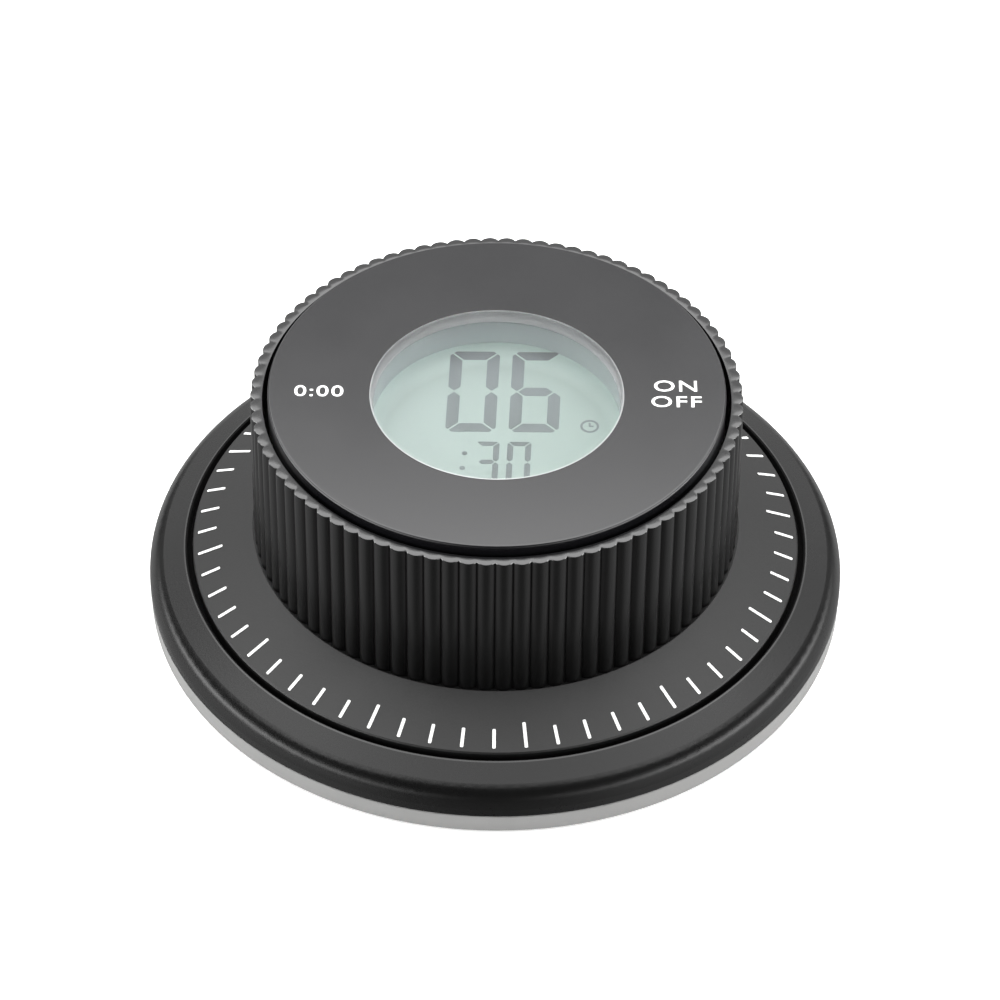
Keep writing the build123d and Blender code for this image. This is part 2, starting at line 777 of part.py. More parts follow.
def pivot_pins():
    """Two steel pins, fast in the posts, on which the plate's lugs turn."""
    pin = rod_y(PIN_D / 2, (lug_in + PIN_END, post_out - PIN_END), (0, pivot_z))
    return Compound([pin, mirror(pin, about=Plane.XZ)])


nodes = {
    "foot_ring": foot_ring(),
    "base_housing": base_housing(),
    "bottom_cover": bottom_cover(),
    "bottom_screws": bottom_screws(),
    "battery_door": battery_door(),
    "battery_cell_a": battery_cell(-cell_y, 1),
    "battery_cell_b": battery_cell(cell_y, -1),
    "battery_springs": battery_springs(),
    "battery_link": battery_link(),
    "battery_terminals": battery_terminals(),
    "battery_leads": battery_leads(),
    "glide_ring": glide_ring(),
    "dial_ring": dial_ring(),
    "grip_ring": grip_ring(),
    "ring_gear": ring_gear(),
    "encoder_pinion": encoder_pinion(),
    "encoder_body": encoder_body(),
    "chassis": chassis(),
    "chassis_screws": chassis_screws(),
    "main_pcb": main_pcb(),
    "buzzer": buzzer(),
    "controller_blob": controller_blob(),
    "clock_crystal": clock_crystal(),
    "lcd_frame": lcd_frame(),
    "lcd_cushion": lcd_cushion(),
    "lcd_reflector": lcd_reflector(),
    "lcd_rear_glass": lcd_rear_glass(),
    "lcd_front_glass": lcd_front_glass(),
    "lcd_front_polariser": lcd_front_polariser(),
    "zebra_strips": zebra_strips(),
    "mode_key_dome": key_dome(-1),
    "start_key_dome": key_dome(1),
    "face_plate": face_plate(),
    "window_lens": window_lens(),
    "pivot_pins": pivot_pins(),
}

os.makedirs("parts", exist_ok=True)
for name, shape in nodes.items():
    export_step(shape, f"parts/{name}.step")

print(f"overall {2 * base_r:.2f} across, {plate_top:.2f} high")
print(f"gear pair {ring_teeth} to {PINION_TEETH} teeth, pinion at x {pinion_x:.3f}")
print(f"plate pivot at z {pivot_z:.3f}, door hinge at x {hinge_x:.3f}, z {hinge_z:.3f}")
print(f"drum {drum_r:.3f}, knob crest {crest_r:.3f}, dial edge {dial_r:.3f} at z {dial_edge_z:.3f}")
print(f"dial top z {dial_top_z:.3f}, ring top z {ring_top:.3f}")
print(f"board top z {board_top:.3f}, display z {lcd_top:.3f}")
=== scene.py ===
"""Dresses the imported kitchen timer: its finishes, print and display marks, and the studio round it."""

import json
import logging
import math
from dataclasses import dataclass
from enum import Enum
from typing import Any, Callable, Optional, Union

import bmesh
import bpy
from mathutils import Matrix, Quaternion, Vector

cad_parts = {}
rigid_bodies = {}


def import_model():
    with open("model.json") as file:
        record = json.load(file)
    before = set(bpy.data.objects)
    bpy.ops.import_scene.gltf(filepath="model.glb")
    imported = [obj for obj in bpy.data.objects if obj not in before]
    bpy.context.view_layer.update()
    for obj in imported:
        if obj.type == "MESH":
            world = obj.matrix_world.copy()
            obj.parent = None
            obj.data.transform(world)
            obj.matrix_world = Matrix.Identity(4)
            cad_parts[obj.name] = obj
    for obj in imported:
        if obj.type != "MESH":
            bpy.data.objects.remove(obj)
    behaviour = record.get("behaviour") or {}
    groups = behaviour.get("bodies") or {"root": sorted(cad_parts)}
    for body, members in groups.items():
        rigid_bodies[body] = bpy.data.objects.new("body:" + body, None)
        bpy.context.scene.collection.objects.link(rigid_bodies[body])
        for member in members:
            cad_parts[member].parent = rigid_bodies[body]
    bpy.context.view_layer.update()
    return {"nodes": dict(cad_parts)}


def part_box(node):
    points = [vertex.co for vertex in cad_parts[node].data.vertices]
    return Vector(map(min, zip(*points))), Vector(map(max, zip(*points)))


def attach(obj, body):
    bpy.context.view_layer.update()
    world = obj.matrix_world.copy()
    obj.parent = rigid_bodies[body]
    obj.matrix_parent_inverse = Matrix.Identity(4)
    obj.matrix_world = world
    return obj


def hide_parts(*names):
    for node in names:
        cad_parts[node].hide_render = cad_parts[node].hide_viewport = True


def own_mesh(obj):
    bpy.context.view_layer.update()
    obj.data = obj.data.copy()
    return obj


LOG = logging.getLogger("timer")
MM = 0.001
INK_T = 0.02 * MM
CLOSE = 1e-7
DOUBLE = 0.0005 * MM
FINER_LAYERS = 0.55
EDGE_STEPS = 3
Flat = tuple[float, float]
Piece = bpy.types.Object
Colour = tuple[float, float, float]
WHITE: Colour = (1.0, 1.0, 1.0)


def rgba(colour: Colour, gain: float = 1.0) -> tuple[float, float, float, float]:
    """Gives a linear colour, made lighter or darker by gain, as a socket takes it."""
    return (colour[0] * gain, colour[1] * gain, colour[2] * gain, 1.0)


def srgb(red: int, green: int, blue: int) -> Colour:
    """Turns 8-bit display values into a linear colour by undoing the display curve."""
    shares = (red / 255, green / 255, blue / 255)
    return tuple(s / 12.92 if s <= 0.04045 else ((s + 0.055) / 1.055) ** 2.4 for s in shares)


class Wire:
    """A value in a finish's node tree, with the operators that its expressions use."""

    def __init__(self, sheet: "NodeSheet", socket: bpy.types.NodeSocket) -> None:
        """Wraps one output socket of the sheet's tree."""
        self.sheet = sheet
        self.socket = socket

    def maths(self, operation: str, first: "Value", second: "Value") -> "Wire":
        """Adds a Math node with an operation and two values, and gives its result."""
        return self.sheet.wire(0, "ShaderNodeMath", {"operation": operation}, {0: first, 1: second})

    def __add__(self, other: "Value") -> "Wire":
        """Adds."""
        return self.maths("ADD", self, other)

    def __radd__(self, other: "Value") -> "Wire":
        """Adds, reflected."""
        return self.maths("ADD", other, self)

    def __sub__(self, other: "Value") -> "Wire":
        """Subtracts."""
        return self.maths("SUBTRACT", self, other)

    def __rsub__(self, other: "Value") -> "Wire":
        """Subtracts, reflected."""
        return self.maths("SUBTRACT", other, self)

    def __mul__(self, other: "Value") -> "Wire":
        """Multiplies."""
        return self.maths("MULTIPLY", self, other)

    def __rmul__(self, other: "Value") -> "Wire":
        """Multiplies, reflected."""
        return self.maths("MULTIPLY", other, self)

    def __gt__(self, other: "Value") -> "Wire":
        """Gives 1 where this is the greater and 0 elsewhere."""
        return self.maths("GREATER_THAN", self, other)

    def __mod__(self, other: "Value") -> "Wire":
        """Gives what is left over, always from 0 up."""
        return self.maths("FLOORED_MODULO", self, other)

    def about(self, middle: float, swing: float) -> "Wire":
        """Takes a pattern from 0 to 1 to a swing about a middle value."""
        return middle + (self - 0.5) * swing


Value = Union[Wire, float, tuple]
Settings = dict[str, Any]
Sockets = dict[Union[str, int], Value]


class NodeSheet:
    """A node tree that a finish draws its nodes on."""

    def __init__(self, tree: bpy.types.NodeTree) -> None:
        """Starts on an empty tree."""
        self.tree = tree
        tree.nodes.clear()

    def node(self, kind: str, settings: Optional[Settings] = None,
             sockets: Optional[Sockets] = None) -> bpy.types.Node:
        """Adds one node.

        Args:
            kind: the node's type.
            settings: its own properties, set before the sockets.
            sockets: values or wires for its inputs, by name or number.

        Returns:
            The node.
        """
        made = self.tree.nodes.new(kind)
        for name, value in (settings or {}).items():
            setattr(made, name, value)
        for name, value in (sockets or {}).items():
            if isinstance(value, Wire):
                self.tree.links.new(value.socket, made.inputs[name])
            else:
                made.inputs[name].default_value = value
        return made

    def wire(self, output: Union[str, int], kind: str, settings: Optional[Settings] = None,
             sockets: Optional[Sockets] = None) -> Wire:
        """Adds one node and gives the output that is named."""
        return Wire(self, self.node(kind, settings, sockets).outputs[output])

    def place(self) -> Wire:
        """Gives object coordinates, in metres."""
        return self.wire("Object", "ShaderNodeTexCoord")

    def axes(self, vector: Wire) -> tuple[Wire, Wire, Wire]:
        """Splits coordinates into x, y and z."""
        made = self.node("ShaderNodeSeparateXYZ", {}, {"Vector": vector})
        return (Wire(self, made.outputs[0]), Wire(self, made.outputs[1]), Wire(self, made.outputs[2]))

    def reach(self, y: float = 0.0) -> Wire:
        """Gives the square of the distance from an upright axis.

        Args:
            y: where the axis stands along Y.

        Returns:
            The square, in square metres.
        """
        across, along, _ = self.axes(self.place())
        offset = along - y
        return across * across + offset * offset

    def noise(self, pitch: float, detail: float = 2.0, vector: Optional[Wire] = None) -> Wire:
        """Adds a pattern from 0 to 1 with grains of a size in metres and a number of finer layers."""
        return self.wire("Fac", "ShaderNodeTexNoise", {}, {
            "Vector": vector or self.place(), "Scale": 1.0 / pitch, "Detail": detail,
            "Roughness": FINER_LAYERS})

    def cells(self, pitch: float) -> Wire:
        """Adds cells of a size in metres and gives the distance from each cell's middle."""
        return self.wire("Distance", "ShaderNodeTexVoronoi", {}, {
            "Vector": self.place(), "Scale": 1.0 / pitch})

    def spread(self, value: Wire, low: float, high: float) -> Wire:
        """Takes low to 0 and high to 1, and holds the result between them."""
        return self.wire("Result", "ShaderNodeMapRange", {}, {
            "Value": value, "From Min": low, "From Max": high})

    def blend(self, share: Value, first: Value, second: Value) -> Wire:
        """Mixes two colours by the share of the second."""
        ends = [end if isinstance(end, Wire) else rgba(end) for end in (first, second)]
        return self.wire(2, "ShaderNodeMix", {"data_type": "RGBA"}, {0: share, 6: ends[0], 7: ends[1]})

    def scaled(self, colour: Value, gain: Wire) -> Wire:
        """Makes a colour lighter or darker by a value."""
        return self.wire("Vector", "ShaderNodeVectorMath", {"operation": "SCALE"}, {
            "Vector": colour, "Scale": gain})

    def uneven(self, colour: Colour, pattern: Wire, low: float, high: float = 1.0) -> Wire:
        """Varies a colour with a pattern, from low to high times itself."""
        return self.blend(pattern, rgba(colour, low), rgba(colour, high))

    def bump(self, height: Wire, depth: float, strength: float = 1.0) -> Wire:
        """Turns a height pattern into a normal, by its depth in metres and a share of the effect."""
        return self.wire("Normal", "ShaderNodeBump", {}, {
            "Height": height, "Distance": depth, "Strength": strength})

    def shader(self, sockets: Sockets) -> Wire:
        """Adds a principled shader that has these sockets."""
        return self.wire("BSDF", "ShaderNodeBsdfPrincipled", {}, sockets)

    def surface(self, sockets: Sockets) -> None:
        """Closes the tree with a principled shader that has these sockets."""
        self.node("ShaderNodeOutputMaterial", {}, {"Surface": self.shader(sockets)})


@dataclass(frozen=True)
class Finish:
    """A finish: its name and how it is painted on a node sheet."""

    name: str

    def sockets(self, sheet: NodeSheet) -> Sockets:
        """Draws the finish's nodes and gives what goes into its shader's sockets."""
        raise NotImplementedError

    def paint(self, sheet: NodeSheet) -> None:
        """Draws the finish with one shader."""
        sheet.surface(self.sockets(sheet))

    def material(self) -> bpy.types.Material:
        """Makes the Blender material.

        Returns:
            The material, once for each finish.
        """
        if self not in MADE:
            made = bpy.data.materials.new(f"{self.name}_finish")
            made.use_nodes = True
            self.paint(NodeSheet(made.node_tree))
            MADE[self] = made
        return MADE[self]


MADE: dict[Finish, bpy.types.Material] = {}


@dataclass(frozen=True)
class MouldedPlastic(Finish):
    """Moulded plastic: a fine spark-eroded grain, faint flow shading and uneven gloss."""

    colour: Colour
    roughness: float
    gloss: float = 0.5
    grain: float = 0.25 * MM
    depth: float = 0.006 * MM
    flow: float = 0.08
    glance: float = 0.0
    flow_size: float = 14 * MM
    patchy: float = 0.08
    grainy: float = 0.06
    glancing: Flat = (0.5, 0.75)

    def sockets(self, sheet: NodeSheet) -> Sockets:
        """Draws the grain, the flow shading and the gloss.

        Args:
            sheet: the material's node sheet.

        Returns:
            What goes into each of the shader's sockets.
        """
        broad = sheet.noise(self.flow_size, detail=3.0)
        fine = sheet.noise(self.grain)
        dullness = broad.about(self.roughness, self.patchy) + (fine - 0.5) * self.grainy
        if self.glance:
            facing = sheet.wire("Facing", "ShaderNodeLayerWeight", {}, {"Blend": 0.5})
            dullness = dullness + sheet.spread(facing, *self.glancing) * self.glance
        return {
            "Base Color": sheet.uneven(self.colour, broad, 1 - self.flow, 1 + self.flow),
            "Roughness": dullness,
            "Normal": sheet.bump(fine, self.depth),
            "Specular IOR Level": self.gloss,
        }


@dataclass(frozen=True)
class GroovedPlastic(MouldedPlastic):
    """Moulded plastic that is dull in the groove inside its bore and shines on the bore's lip."""

    lip_r: float = 38.05 * MM
    lip: float = 0.18 * MM
    shine: float = 0.45
    groove_dull: float = 0.65

    def sockets(self, sheet: NodeSheet) -> Sockets:
        """Draws the plastic, then the groove and the lip.

        Args:
            sheet: the material's node sheet.

        Returns:
            What goes into each of the shader's sockets.
        """
        reach = sheet.reach()
        outside = reach > self.lip_r ** 2
        beyond = reach > (self.lip_r + self.lip) ** 2
        made = super().sockets(sheet)
        made["Roughness"] = made["Roughness"] + (1.0 - outside) * self.groove_dull
        made["Coat Weight"] = (outside - beyond) * self.shine
        made["Coat Roughness"] = 0.3
        return made


@dataclass(frozen=True)
class SoftRubber(Finish):
    """Soft rubber: dull, dusty in patches, with fine pores."""

    colour: Colour
    roughness: float = 0.75
    pores: float = 0.3 * MM

    def paint(self, sheet: NodeSheet) -> None:
        """Draws the pores and the dusty patches.

        Args:
            sheet: the material's node sheet.
        """
        dust = sheet.noise(6 * MM, detail=4.0)
        pores = sheet.noise(self.pores, detail=3.0)
        sheet.surface({
            "Base Color": sheet.uneven(self.colour, dust, low=0.94, high=1.06),
            "Roughness": dust.about(self.roughness, swing=0.15),
            "Normal": sheet.bump(pores, depth=0.012 * MM),
            "Specular IOR Level": 0.3,
        })


@dataclass(frozen=True)
class ClearPane(Finish):
    """Clear glass or acrylic with faint wiping marks in its gloss."""

    colour: Colour
    index: float = 1.49
    haze: float = 0.02

    def sockets(self, sheet: NodeSheet) -> Sockets:
        """Draws the wiping marks.

        Args:
            sheet: the material's node sheet.

        Returns:
            What goes into each of the shader's sockets.
        """
        wiped = sheet.noise(5 * MM, detail=4.0)
        return {
            "Base Color": sheet.uneven(self.colour, wiped, low=0.99),
            "Roughness": self.haze * wiped,
            "IOR": self.index,
            "Transmission Weight": 1.0,
        }


@dataclass(frozen=True)
class BorderedPane(ClearPane):
    """A clear pane with a pale border printed on its flange's hidden side and wall. The print's
    paleness, glow and off-centre reach are painted light standing in for the lit wall of the display
    well and covering the shade on the frame's top; the pale line round the top edge is a painted
    highlight.
    """

    # The border and under colours are a print made pale as painted light, standing in for the lit wall
    # of the display well.
    border: Colour = (0.4, 0.415, 0.42)
    under: Colour = (0.39, 0.405, 0.41)
    under_z: float = 30.05 * MM
    border_r: float = 14.75 * MM
    border_y: float = -1.25 * MM
    face_z: float = 31.95 * MM
    fade: float = 1.6 * MM
    # These gains paint shade near the print's inner edge and light further out, towards the back.
    inner_painted_shade: float = 0.525
    outer_painted_light: float = 1.45
    rear: Flat = (4 * MM, 12 * MM)
    # The pale top edge is a painted highlight, brightest at the front.
    lip: Colour = (0.46, 0.47, 0.47)
    lip_y: float = -0.7 * MM
    lip_r: float = 15.08 * MM
    lip_highlight_fade: Flat = (-14 * MM, 10 * MM)
    lip_highlight_back_gain: float = 0.22
    # The print's glow is painted light, not a lamp.
    glow: float = 0.1

    def paint(self, sheet: NodeSheet) -> None:
        """Draws the clear middle, the print made pale with painted light round it, the painted light and
        shade on its hidden side and the painted highlight along the top edge.

        Args:
            sheet: the material's node sheet.
        """
        _, along, height = sheet.axes(sheet.place())
        # The print's middle sits off the window's middle so that it reaches further in at the back and
        # covers the shade on the frame's top: painted light.
        reach = sheet.reach(self.border_y)
        top = height > self.face_z
        # A thin ring along the top edge carries the painted highlight.
        edge = sheet.reach(self.lip_y) > self.lip_r ** 2
        printed = (reach > self.border_r ** 2) * (1.0 - top) + edge * top
        # Painted light and shade on the hidden print: darker near its inner edge and lighter further
        # out, towards the back, evening out the shade that falls there.
        rise = sheet.spread(reach, self.border_r ** 2, (self.border_r + self.fade) ** 2)
        change = self.inner_painted_shade - 1.0 + rise * (self.outer_painted_light - self.inner_painted_shade)
        shaded = sheet.scaled(self.under, 1.0 + sheet.spread(along, *self.rear) * change)
        below = sheet.blend(height > self.under_z, shaded, self.border)
        # Painted highlight: the top edge is pale at the front and darkens towards the back.
        above = sheet.uneven(self.lip, sheet.spread(along, *self.lip_highlight_fade), 1.0, self.lip_highlight_back_gain)
        tone = sheet.blend(top, below, above)
        film = sheet.noise(0.4 * MM, detail=3.0)
        # The print glows a little: painted light, not a lamp.
        ink = sheet.shader({
            "Base Color": tone,
            "Roughness": film.about(0.5, swing=0.1),
            "Emission Color": tone,
            "Emission Strength": self.glow,
        })
        mixed = sheet.wire("Shader", "ShaderNodeMixShader", {}, {
            0: printed, 1: sheet.shader(self.sockets(sheet)), 2: ink})
        sheet.node("ShaderNodeOutputMaterial", {}, {"Surface": mixed})


@dataclass(frozen=True)
class DisplayFilm(Finish):
    """The display's pale film: cooler and lighter on the left, greener and darker on the right as a
    painted fall of light, lighter near the well's wall as painted light against its shade, very faintly
    mottled.
    """

    left: Colour
    right: Colour
    half_width: float = 15 * MM
    edge_y: float = -3.3 * MM
    edge_r: Flat = (13.6 * MM, 18.3 * MM)
    # This lift is painted light near the well's wall, against the shade that falls there.
    wall_shade_lift: float = 1.1

    def paint(self, sheet: NodeSheet) -> None:
        """Draws the slow change of colour with its painted fall of light, the painted light near the
        well's wall and the mottle.

        Args:
            sheet: the material's node sheet.
        """
        across, _, _ = sheet.axes(sheet.place())
        # Painted light: lighter on the left and darker on the right.
        share = sheet.spread(across, -self.half_width, self.half_width)
        # Painted light: lighter near the well's wall, where shade falls.
        near = sheet.spread(sheet.reach(self.edge_y), self.edge_r[0] ** 2, self.edge_r[1] ** 2)
        even = sheet.blend(share, self.left, self.right)
        tone = sheet.scaled(even, 1.0 + near * self.wall_shade_lift)
        mottle = sheet.noise(0.12 * MM)
        sheet.surface({
            "Base Color": sheet.blend(mottle * 0.08, tone, rgba(self.left, 0.8)),
            "Roughness": mottle.about(0.42, swing=0.1),
            "Specular IOR Level": 0.05,
        })


@dataclass(frozen=True)
class DisplayInk(Finish):
    """A lit display segment: lighter towards the back as painted light against the shade that falls
    there, with a fine rubbed grain.
    """

    back: Colour
    front: Colour
    back_y: float = 13 * MM
    front_y: float = 0.0

    def paint(self, sheet: NodeSheet) -> None:
        """Draws the painted light, a change of tone from the back to the front.

        Args:
            sheet: the material's node sheet.
        """
        _, along, _ = sheet.axes(sheet.place())
        # Painted light: the segments are lighter towards the back, where the well casts shade.
        share = sheet.spread(along, self.front_y, self.back_y)
        rubbed = sheet.noise(0.15 * MM)
        tone = sheet.blend(share, self.front, self.back)
        sheet.surface({
            "Base Color": sheet.blend(rubbed * 0.15, tone, rgba(self.front, 1.15)),
            "Roughness": rubbed.about(0.45, swing=0.1),
            "Specular IOR Level": 0.05,
        })


@dataclass(frozen=True)
class PrintInk(Finish):
    """Screen-printed ink: nearly even, a little thin in places."""

    colour: Colour

    def paint(self, sheet: NodeSheet) -> None:
        """Draws the uneven film of ink.

        Args:
            sheet: the material's node sheet.
        """
        film = sheet.noise(0.4 * MM, detail=3.0)
        sheet.surface({
            "Base Color": sheet.uneven(self.colour, film, low=0.93),
            "Roughness": film.about(0.5, swing=0.15),
            "Normal": sheet.bump(film, depth=0.004 * MM),
            "Specular IOR Level": 0.4,
        })


@dataclass(frozen=True)
class WellWall(Finish):
    """The display well's wall: pale plastic, lighter and greener towards its foot and darker towards its
    top, as painted light from the display and painted shade under the plate.
    """

    top: Colour
    foot: Colour
    foot_z: float
    top_z: float

    def paint(self, sheet: NodeSheet) -> None:
        """Draws the wall's painted light and shade from foot to top, with moulding lines.

        Args:
            sheet: the material's node sheet.
        """
        _, _, height = sheet.axes(sheet.place())
        # Painted light and shade: lighter and greener at the foot, darker at the top.
        share = sheet.spread(height, self.foot_z, self.top_z)
        grain = sheet.noise(0.3 * MM)
        sheet.surface({
            "Base Color": sheet.blend(share, self.foot, self.top),
            "Roughness": grain.about(0.5, swing=0.1),
            "Normal": sheet.bump(grain, depth=0.004 * MM),
            "Specular IOR Level": 0.4,
        })


@dataclass(frozen=True)
class SheetMetal(Finish):
    """Bright metal with fine drawn lines along one axis and a few dull patches."""

    colour: Colour
    roughness: float
    line: float = 0.2 * MM
    stretch: Colour = (0.05, 1.0, 1.0)

    def paint(self, sheet: NodeSheet) -> None:
        """Draws the lines and the dull patches.

        Args:
            sheet: the material's node sheet.
        """
        drawn = sheet.wire("Vector", "ShaderNodeVectorMath", {"operation": "MULTIPLY"}, {
            0: sheet.place(), 1: self.stretch})
        lines = sheet.noise(self.line, vector=drawn)
        patches = sheet.noise(3 * MM, detail=3.0)
        sheet.surface({
            "Base Color": sheet.uneven(self.colour, patches, low=0.88),
            "Metallic": 1.0,
            "Roughness": patches.about(self.roughness, swing=0.15) + (lines - 0.5) * 0.1,
            "Normal": sheet.bump(lines, depth=0.003 * MM),
        })


@dataclass(frozen=True)
class BoardMask(Finish):
    """A circuit board: green mask over tracks, with small tinned pads."""

    mask: Colour
    track: Colour
    pad: Colour
    bend: float = 6 * MM
    runs: Flat = (1.3 * MM, 0.62)
    rungs: Flat = (4.1 * MM, 0.55)
    pads: Flat = (2.6 * MM, 0.17)

    def paint(self, sheet: NodeSheet) -> None:
        """Draws the tracks as raised lines and the pads as tinned spots.

        Args:
            sheet: the material's node sheet.
        """
        across, along, _ = sheet.axes(sheet.place())
        bend = sheet.noise(9 * MM, detail=0.0) * self.bend
        runs = ((across + bend) * (1 / self.runs[0])) % 1.0 > self.runs[1]
        rungs = ((along + bend) * (1 / self.rungs[0])) % 1.0 > self.rungs[1]
        tracks = runs * rungs
        pads = 1.0 - (sheet.cells(self.pads[0]) > self.pads[1])
        masked = sheet.blend(tracks, self.mask, self.track)
        sheet.surface({
            "Base Color": sheet.blend(pads, masked, self.pad),
            "Metallic": pads,
            "Roughness": 0.35 + pads * 0.1,
            "Normal": sheet.bump(tracks, depth=0.03 * MM, strength=0.5),
        })


@dataclass(frozen=True)
class CellWrap(Finish):
    """A battery's printed sleeve: two bands, with bare steel at both ends."""

    body: Colour
    band: Colour
    steel: Colour
    half_length: float
    bare_end: float = 1.2 * MM
    band_start: float = 0.45

    def paint(self, sheet: NodeSheet) -> None:
        """Draws the bands along the cell and the bare ends.

        Args:
            sheet: the material's node sheet.
        """
        along, _, _ = sheet.axes(sheet.place())
        scuff = sheet.noise(1.5 * MM, detail=4.0)
        sleeve = self.half_length - self.bare_end
        bare = (along > sleeve) + (-1.0 * along > sleeve)
        banded = sheet.blend(along > self.half_length * self.band_start, self.body, self.band)
        worn = sheet.blend(scuff * 0.2, banded, self.steel)
        sheet.surface({
            "Base Color": sheet.blend(bare, worn, self.steel),
            "Metallic": bare * 0.95,
            "Roughness": 0.28 + scuff * 0.15,
        })


@dataclass(frozen=True)
class Striped(Finish):
    """Rubber with fine stripes that carry current across it."""

    dark: Colour
    light: Colour
    pitch: float

    def paint(self, sheet: NodeSheet) -> None:
        """Draws the stripes.

        Args:
            sheet: the material's node sheet.
        """
        across, _, _ = sheet.axes(sheet.place())
        stripe = (across * (1 / self.pitch)) % 1.0 > 0.5
        pores = sheet.noise(0.2 * MM)
        sheet.surface({
            "Base Color": sheet.blend(stripe, self.light, self.dark),
            "Roughness": pores.about(0.7, swing=0.2),
            "Normal": sheet.bump(pores, depth=0.01 * MM),
        })


@dataclass(frozen=True)
class Foam(Finish):
    """Cut foam: open cells all over."""

    colour: Colour

    def paint(self, sheet: NodeSheet) -> None:
        """Draws the cells as pits, with painted shade darkening their middles.

        Args:
            sheet: the material's node sheet.
        """
        cells = sheet.cells(0.5 * MM)
        sheet.surface({
            # Painted shade: the colour darkens towards each cell's middle, where the pit is deepest.
            "Base Color": sheet.uneven(self.colour, cells, low=0.55, high=1.1),
            "Roughness": 0.85 + cells * 0.1,
            "Normal": sheet.bump(cells, depth=0.15 * MM, strength=0.8),
            "Specular IOR Level": 0.2,
        })


@dataclass(frozen=True)
class StudioWhite(Finish):
    """The floor's even white, with a little light of its own."""

    level: float
    glow: float

    def paint(self, sheet: NodeSheet) -> None:
        """Draws a dull white with a trace of paper grain.

        Args:
            sheet: the material's node sheet.
        """
        sheet.surface({
            "Base Color": sheet.uneven(WHITE, sheet.noise(3 * MM), 0.99 * self.level, self.level),
            "Roughness": 0.9,
            "Specular IOR Level": 0.0,
            "Emission Color": rgba(WHITE),
            "Emission Strength": self.glow,
        })


ACETAL = MouldedPlastic("acetal_white", srgb(226, 224, 216), 0.38, 0.5, 0.4 * MM, 0.003 * MM)
SCREW_STEEL = SheetMetal("screw_steel", srgb(186, 186, 184), 0.32)


class Pick(Enum):
    """What a selection is made of."""

    VERTS = "VERT"
    EDGES = "EDGE"
    FACES = "FACE"


def deselect() -> None:
    """Leaves nothing selected."""
    bpy.ops.object.select_all(action="DESELECT")


def choose(piece: Piece) -> None:
    """Selects one piece and nothing else, and makes it the active one.

    Args:
        piece: the piece.
    """
    deselect()
    piece.select_set(True)
    bpy.context.view_layer.objects.active = piece


def edit(piece: Piece) -> None:
    """Opens one piece, and nothing else, for editing."""
    choose(piece)
    bpy.ops.object.mode_set(mode="EDIT")


def close() -> None:
    """Ends the editing of a piece."""
    bpy.ops.object.mode_set(mode="OBJECT")


def settle() -> None:
    """Takes the chosen piece's place, turn and size into its mesh."""
    bpy.ops.object.transform_apply(location=True, rotation=True, scale=True)


def take_all(kind: Pick = Pick.VERTS) -> None:
    """Selects everything in the piece that is open."""
    bpy.ops.mesh.select_mode(type=kind.value)
    bpy.ops.mesh.select_all(action="SELECT")


def pick(kind: Pick, test: Callable[[Vector], bool]) -> None:
    """Selects what lies wholly where the test says, in the piece that is open.

    Args:
        kind: corners or edges.
        test: true for a corner's place that belongs.
    """
    bpy.ops.mesh.select_mode(type=kind.value)
    bpy.ops.mesh.select_all(action="DESELECT")
    shape = bmesh.from_edit_mesh(bpy.context.object.data)
    if kind is Pick.VERTS:
        for corner in shape.verts:
            corner.select_set(test(corner.co))
    else:
        for side in shape.edges:
            side.select_set(all(test(corner.co) for corner in side.verts))
    shape.select_flush_mode()
    bmesh.update_edit_mesh(bpy.context.object.data)


def at_height(z: float) -> Callable[[Vector], bool]:
    """Makes a test for corners at one height."""
    return lambda spot: abs(spot.z - z) < CLOSE


def pull(x: float = 0.0, y: float = 0.0, z: float = 0.0) -> None:
    """Extrudes what is selected by a step."""
    bpy.ops.mesh.extrude_region_move(TRANSFORM_OT_translate={"value": (x, y, z)})


def move(x: float = 0.0, y: float = 0.0, z: float = 0.0) -> None:
    """Moves what is selected by a step."""
    bpy.ops.transform.translate(value=(x, y, z))


def grow(x: float, y: float, middle: tuple[float, float, float] = (0.0, 0.0, 0.0)) -> None:
    """Makes what is selected larger or smaller along X and Y, about a point."""
    bpy.ops.transform.resize(value=(x, y, 1.0), center_override=middle)


def round_edges(radius: float) -> None:
    """Rounds the edges that are selected."""
    bpy.ops.mesh.bevel(offset=radius, segments=EDGE_STEPS, affect="EDGES")


def round_corners(radius: float, steps: int) -> None:
    """Rounds every corner of the flat piece that is open."""
    take_all()
    bpy.ops.mesh.bevel(offset=radius, segments=steps, affect="VERTICES")


def run_rings(start: Flat, path: tuple[Flat, ...], x: float = 0.0) -> None:
    """Carries the ring that is selected on through further rings.

    Args:
        start: radius and height of the selected ring.
        path: radius and height of each ring that follows.
        x: where the rings' axis stands along X.
    """
    radius, height = start
    for next_r, next_z in path:
        pull(z=next_z - height)
        gain = next_r / radius
        grow(gain, gain, (x, 0, next_z))
        radius, height = next_r, next_z


def close_up(piece: Piece, smooth: float = 30.0) -> None:
    """Merges doubles, turns faces outwards, leaves edit mode and shades the piece.

    Args:
        piece: the piece that is open.
        smooth: angle in degrees up to which an edge is shaded smooth.
    """
    take_all()
    bpy.ops.mesh.remove_doubles(threshold=DOUBLE)
    bpy.ops.mesh.normals_make_consistent(inside=False)
    close()
    choose(piece)
    settle()
    bpy.ops.object.shade_smooth_by_angle(angle=math.radians(smooth))


def join(name: str, pieces: list[Piece]) -> Piece:
    """Makes one piece of several.

    Args:
        name: the joined piece's name.
        pieces: what is joined.

    Returns:
        The joined piece.
    """
    choose(pieces[0])
    for piece in pieces[1:]:
        piece.select_set(True)
    bpy.ops.object.join()
    made = bpy.context.object
    made.name = name
    return made


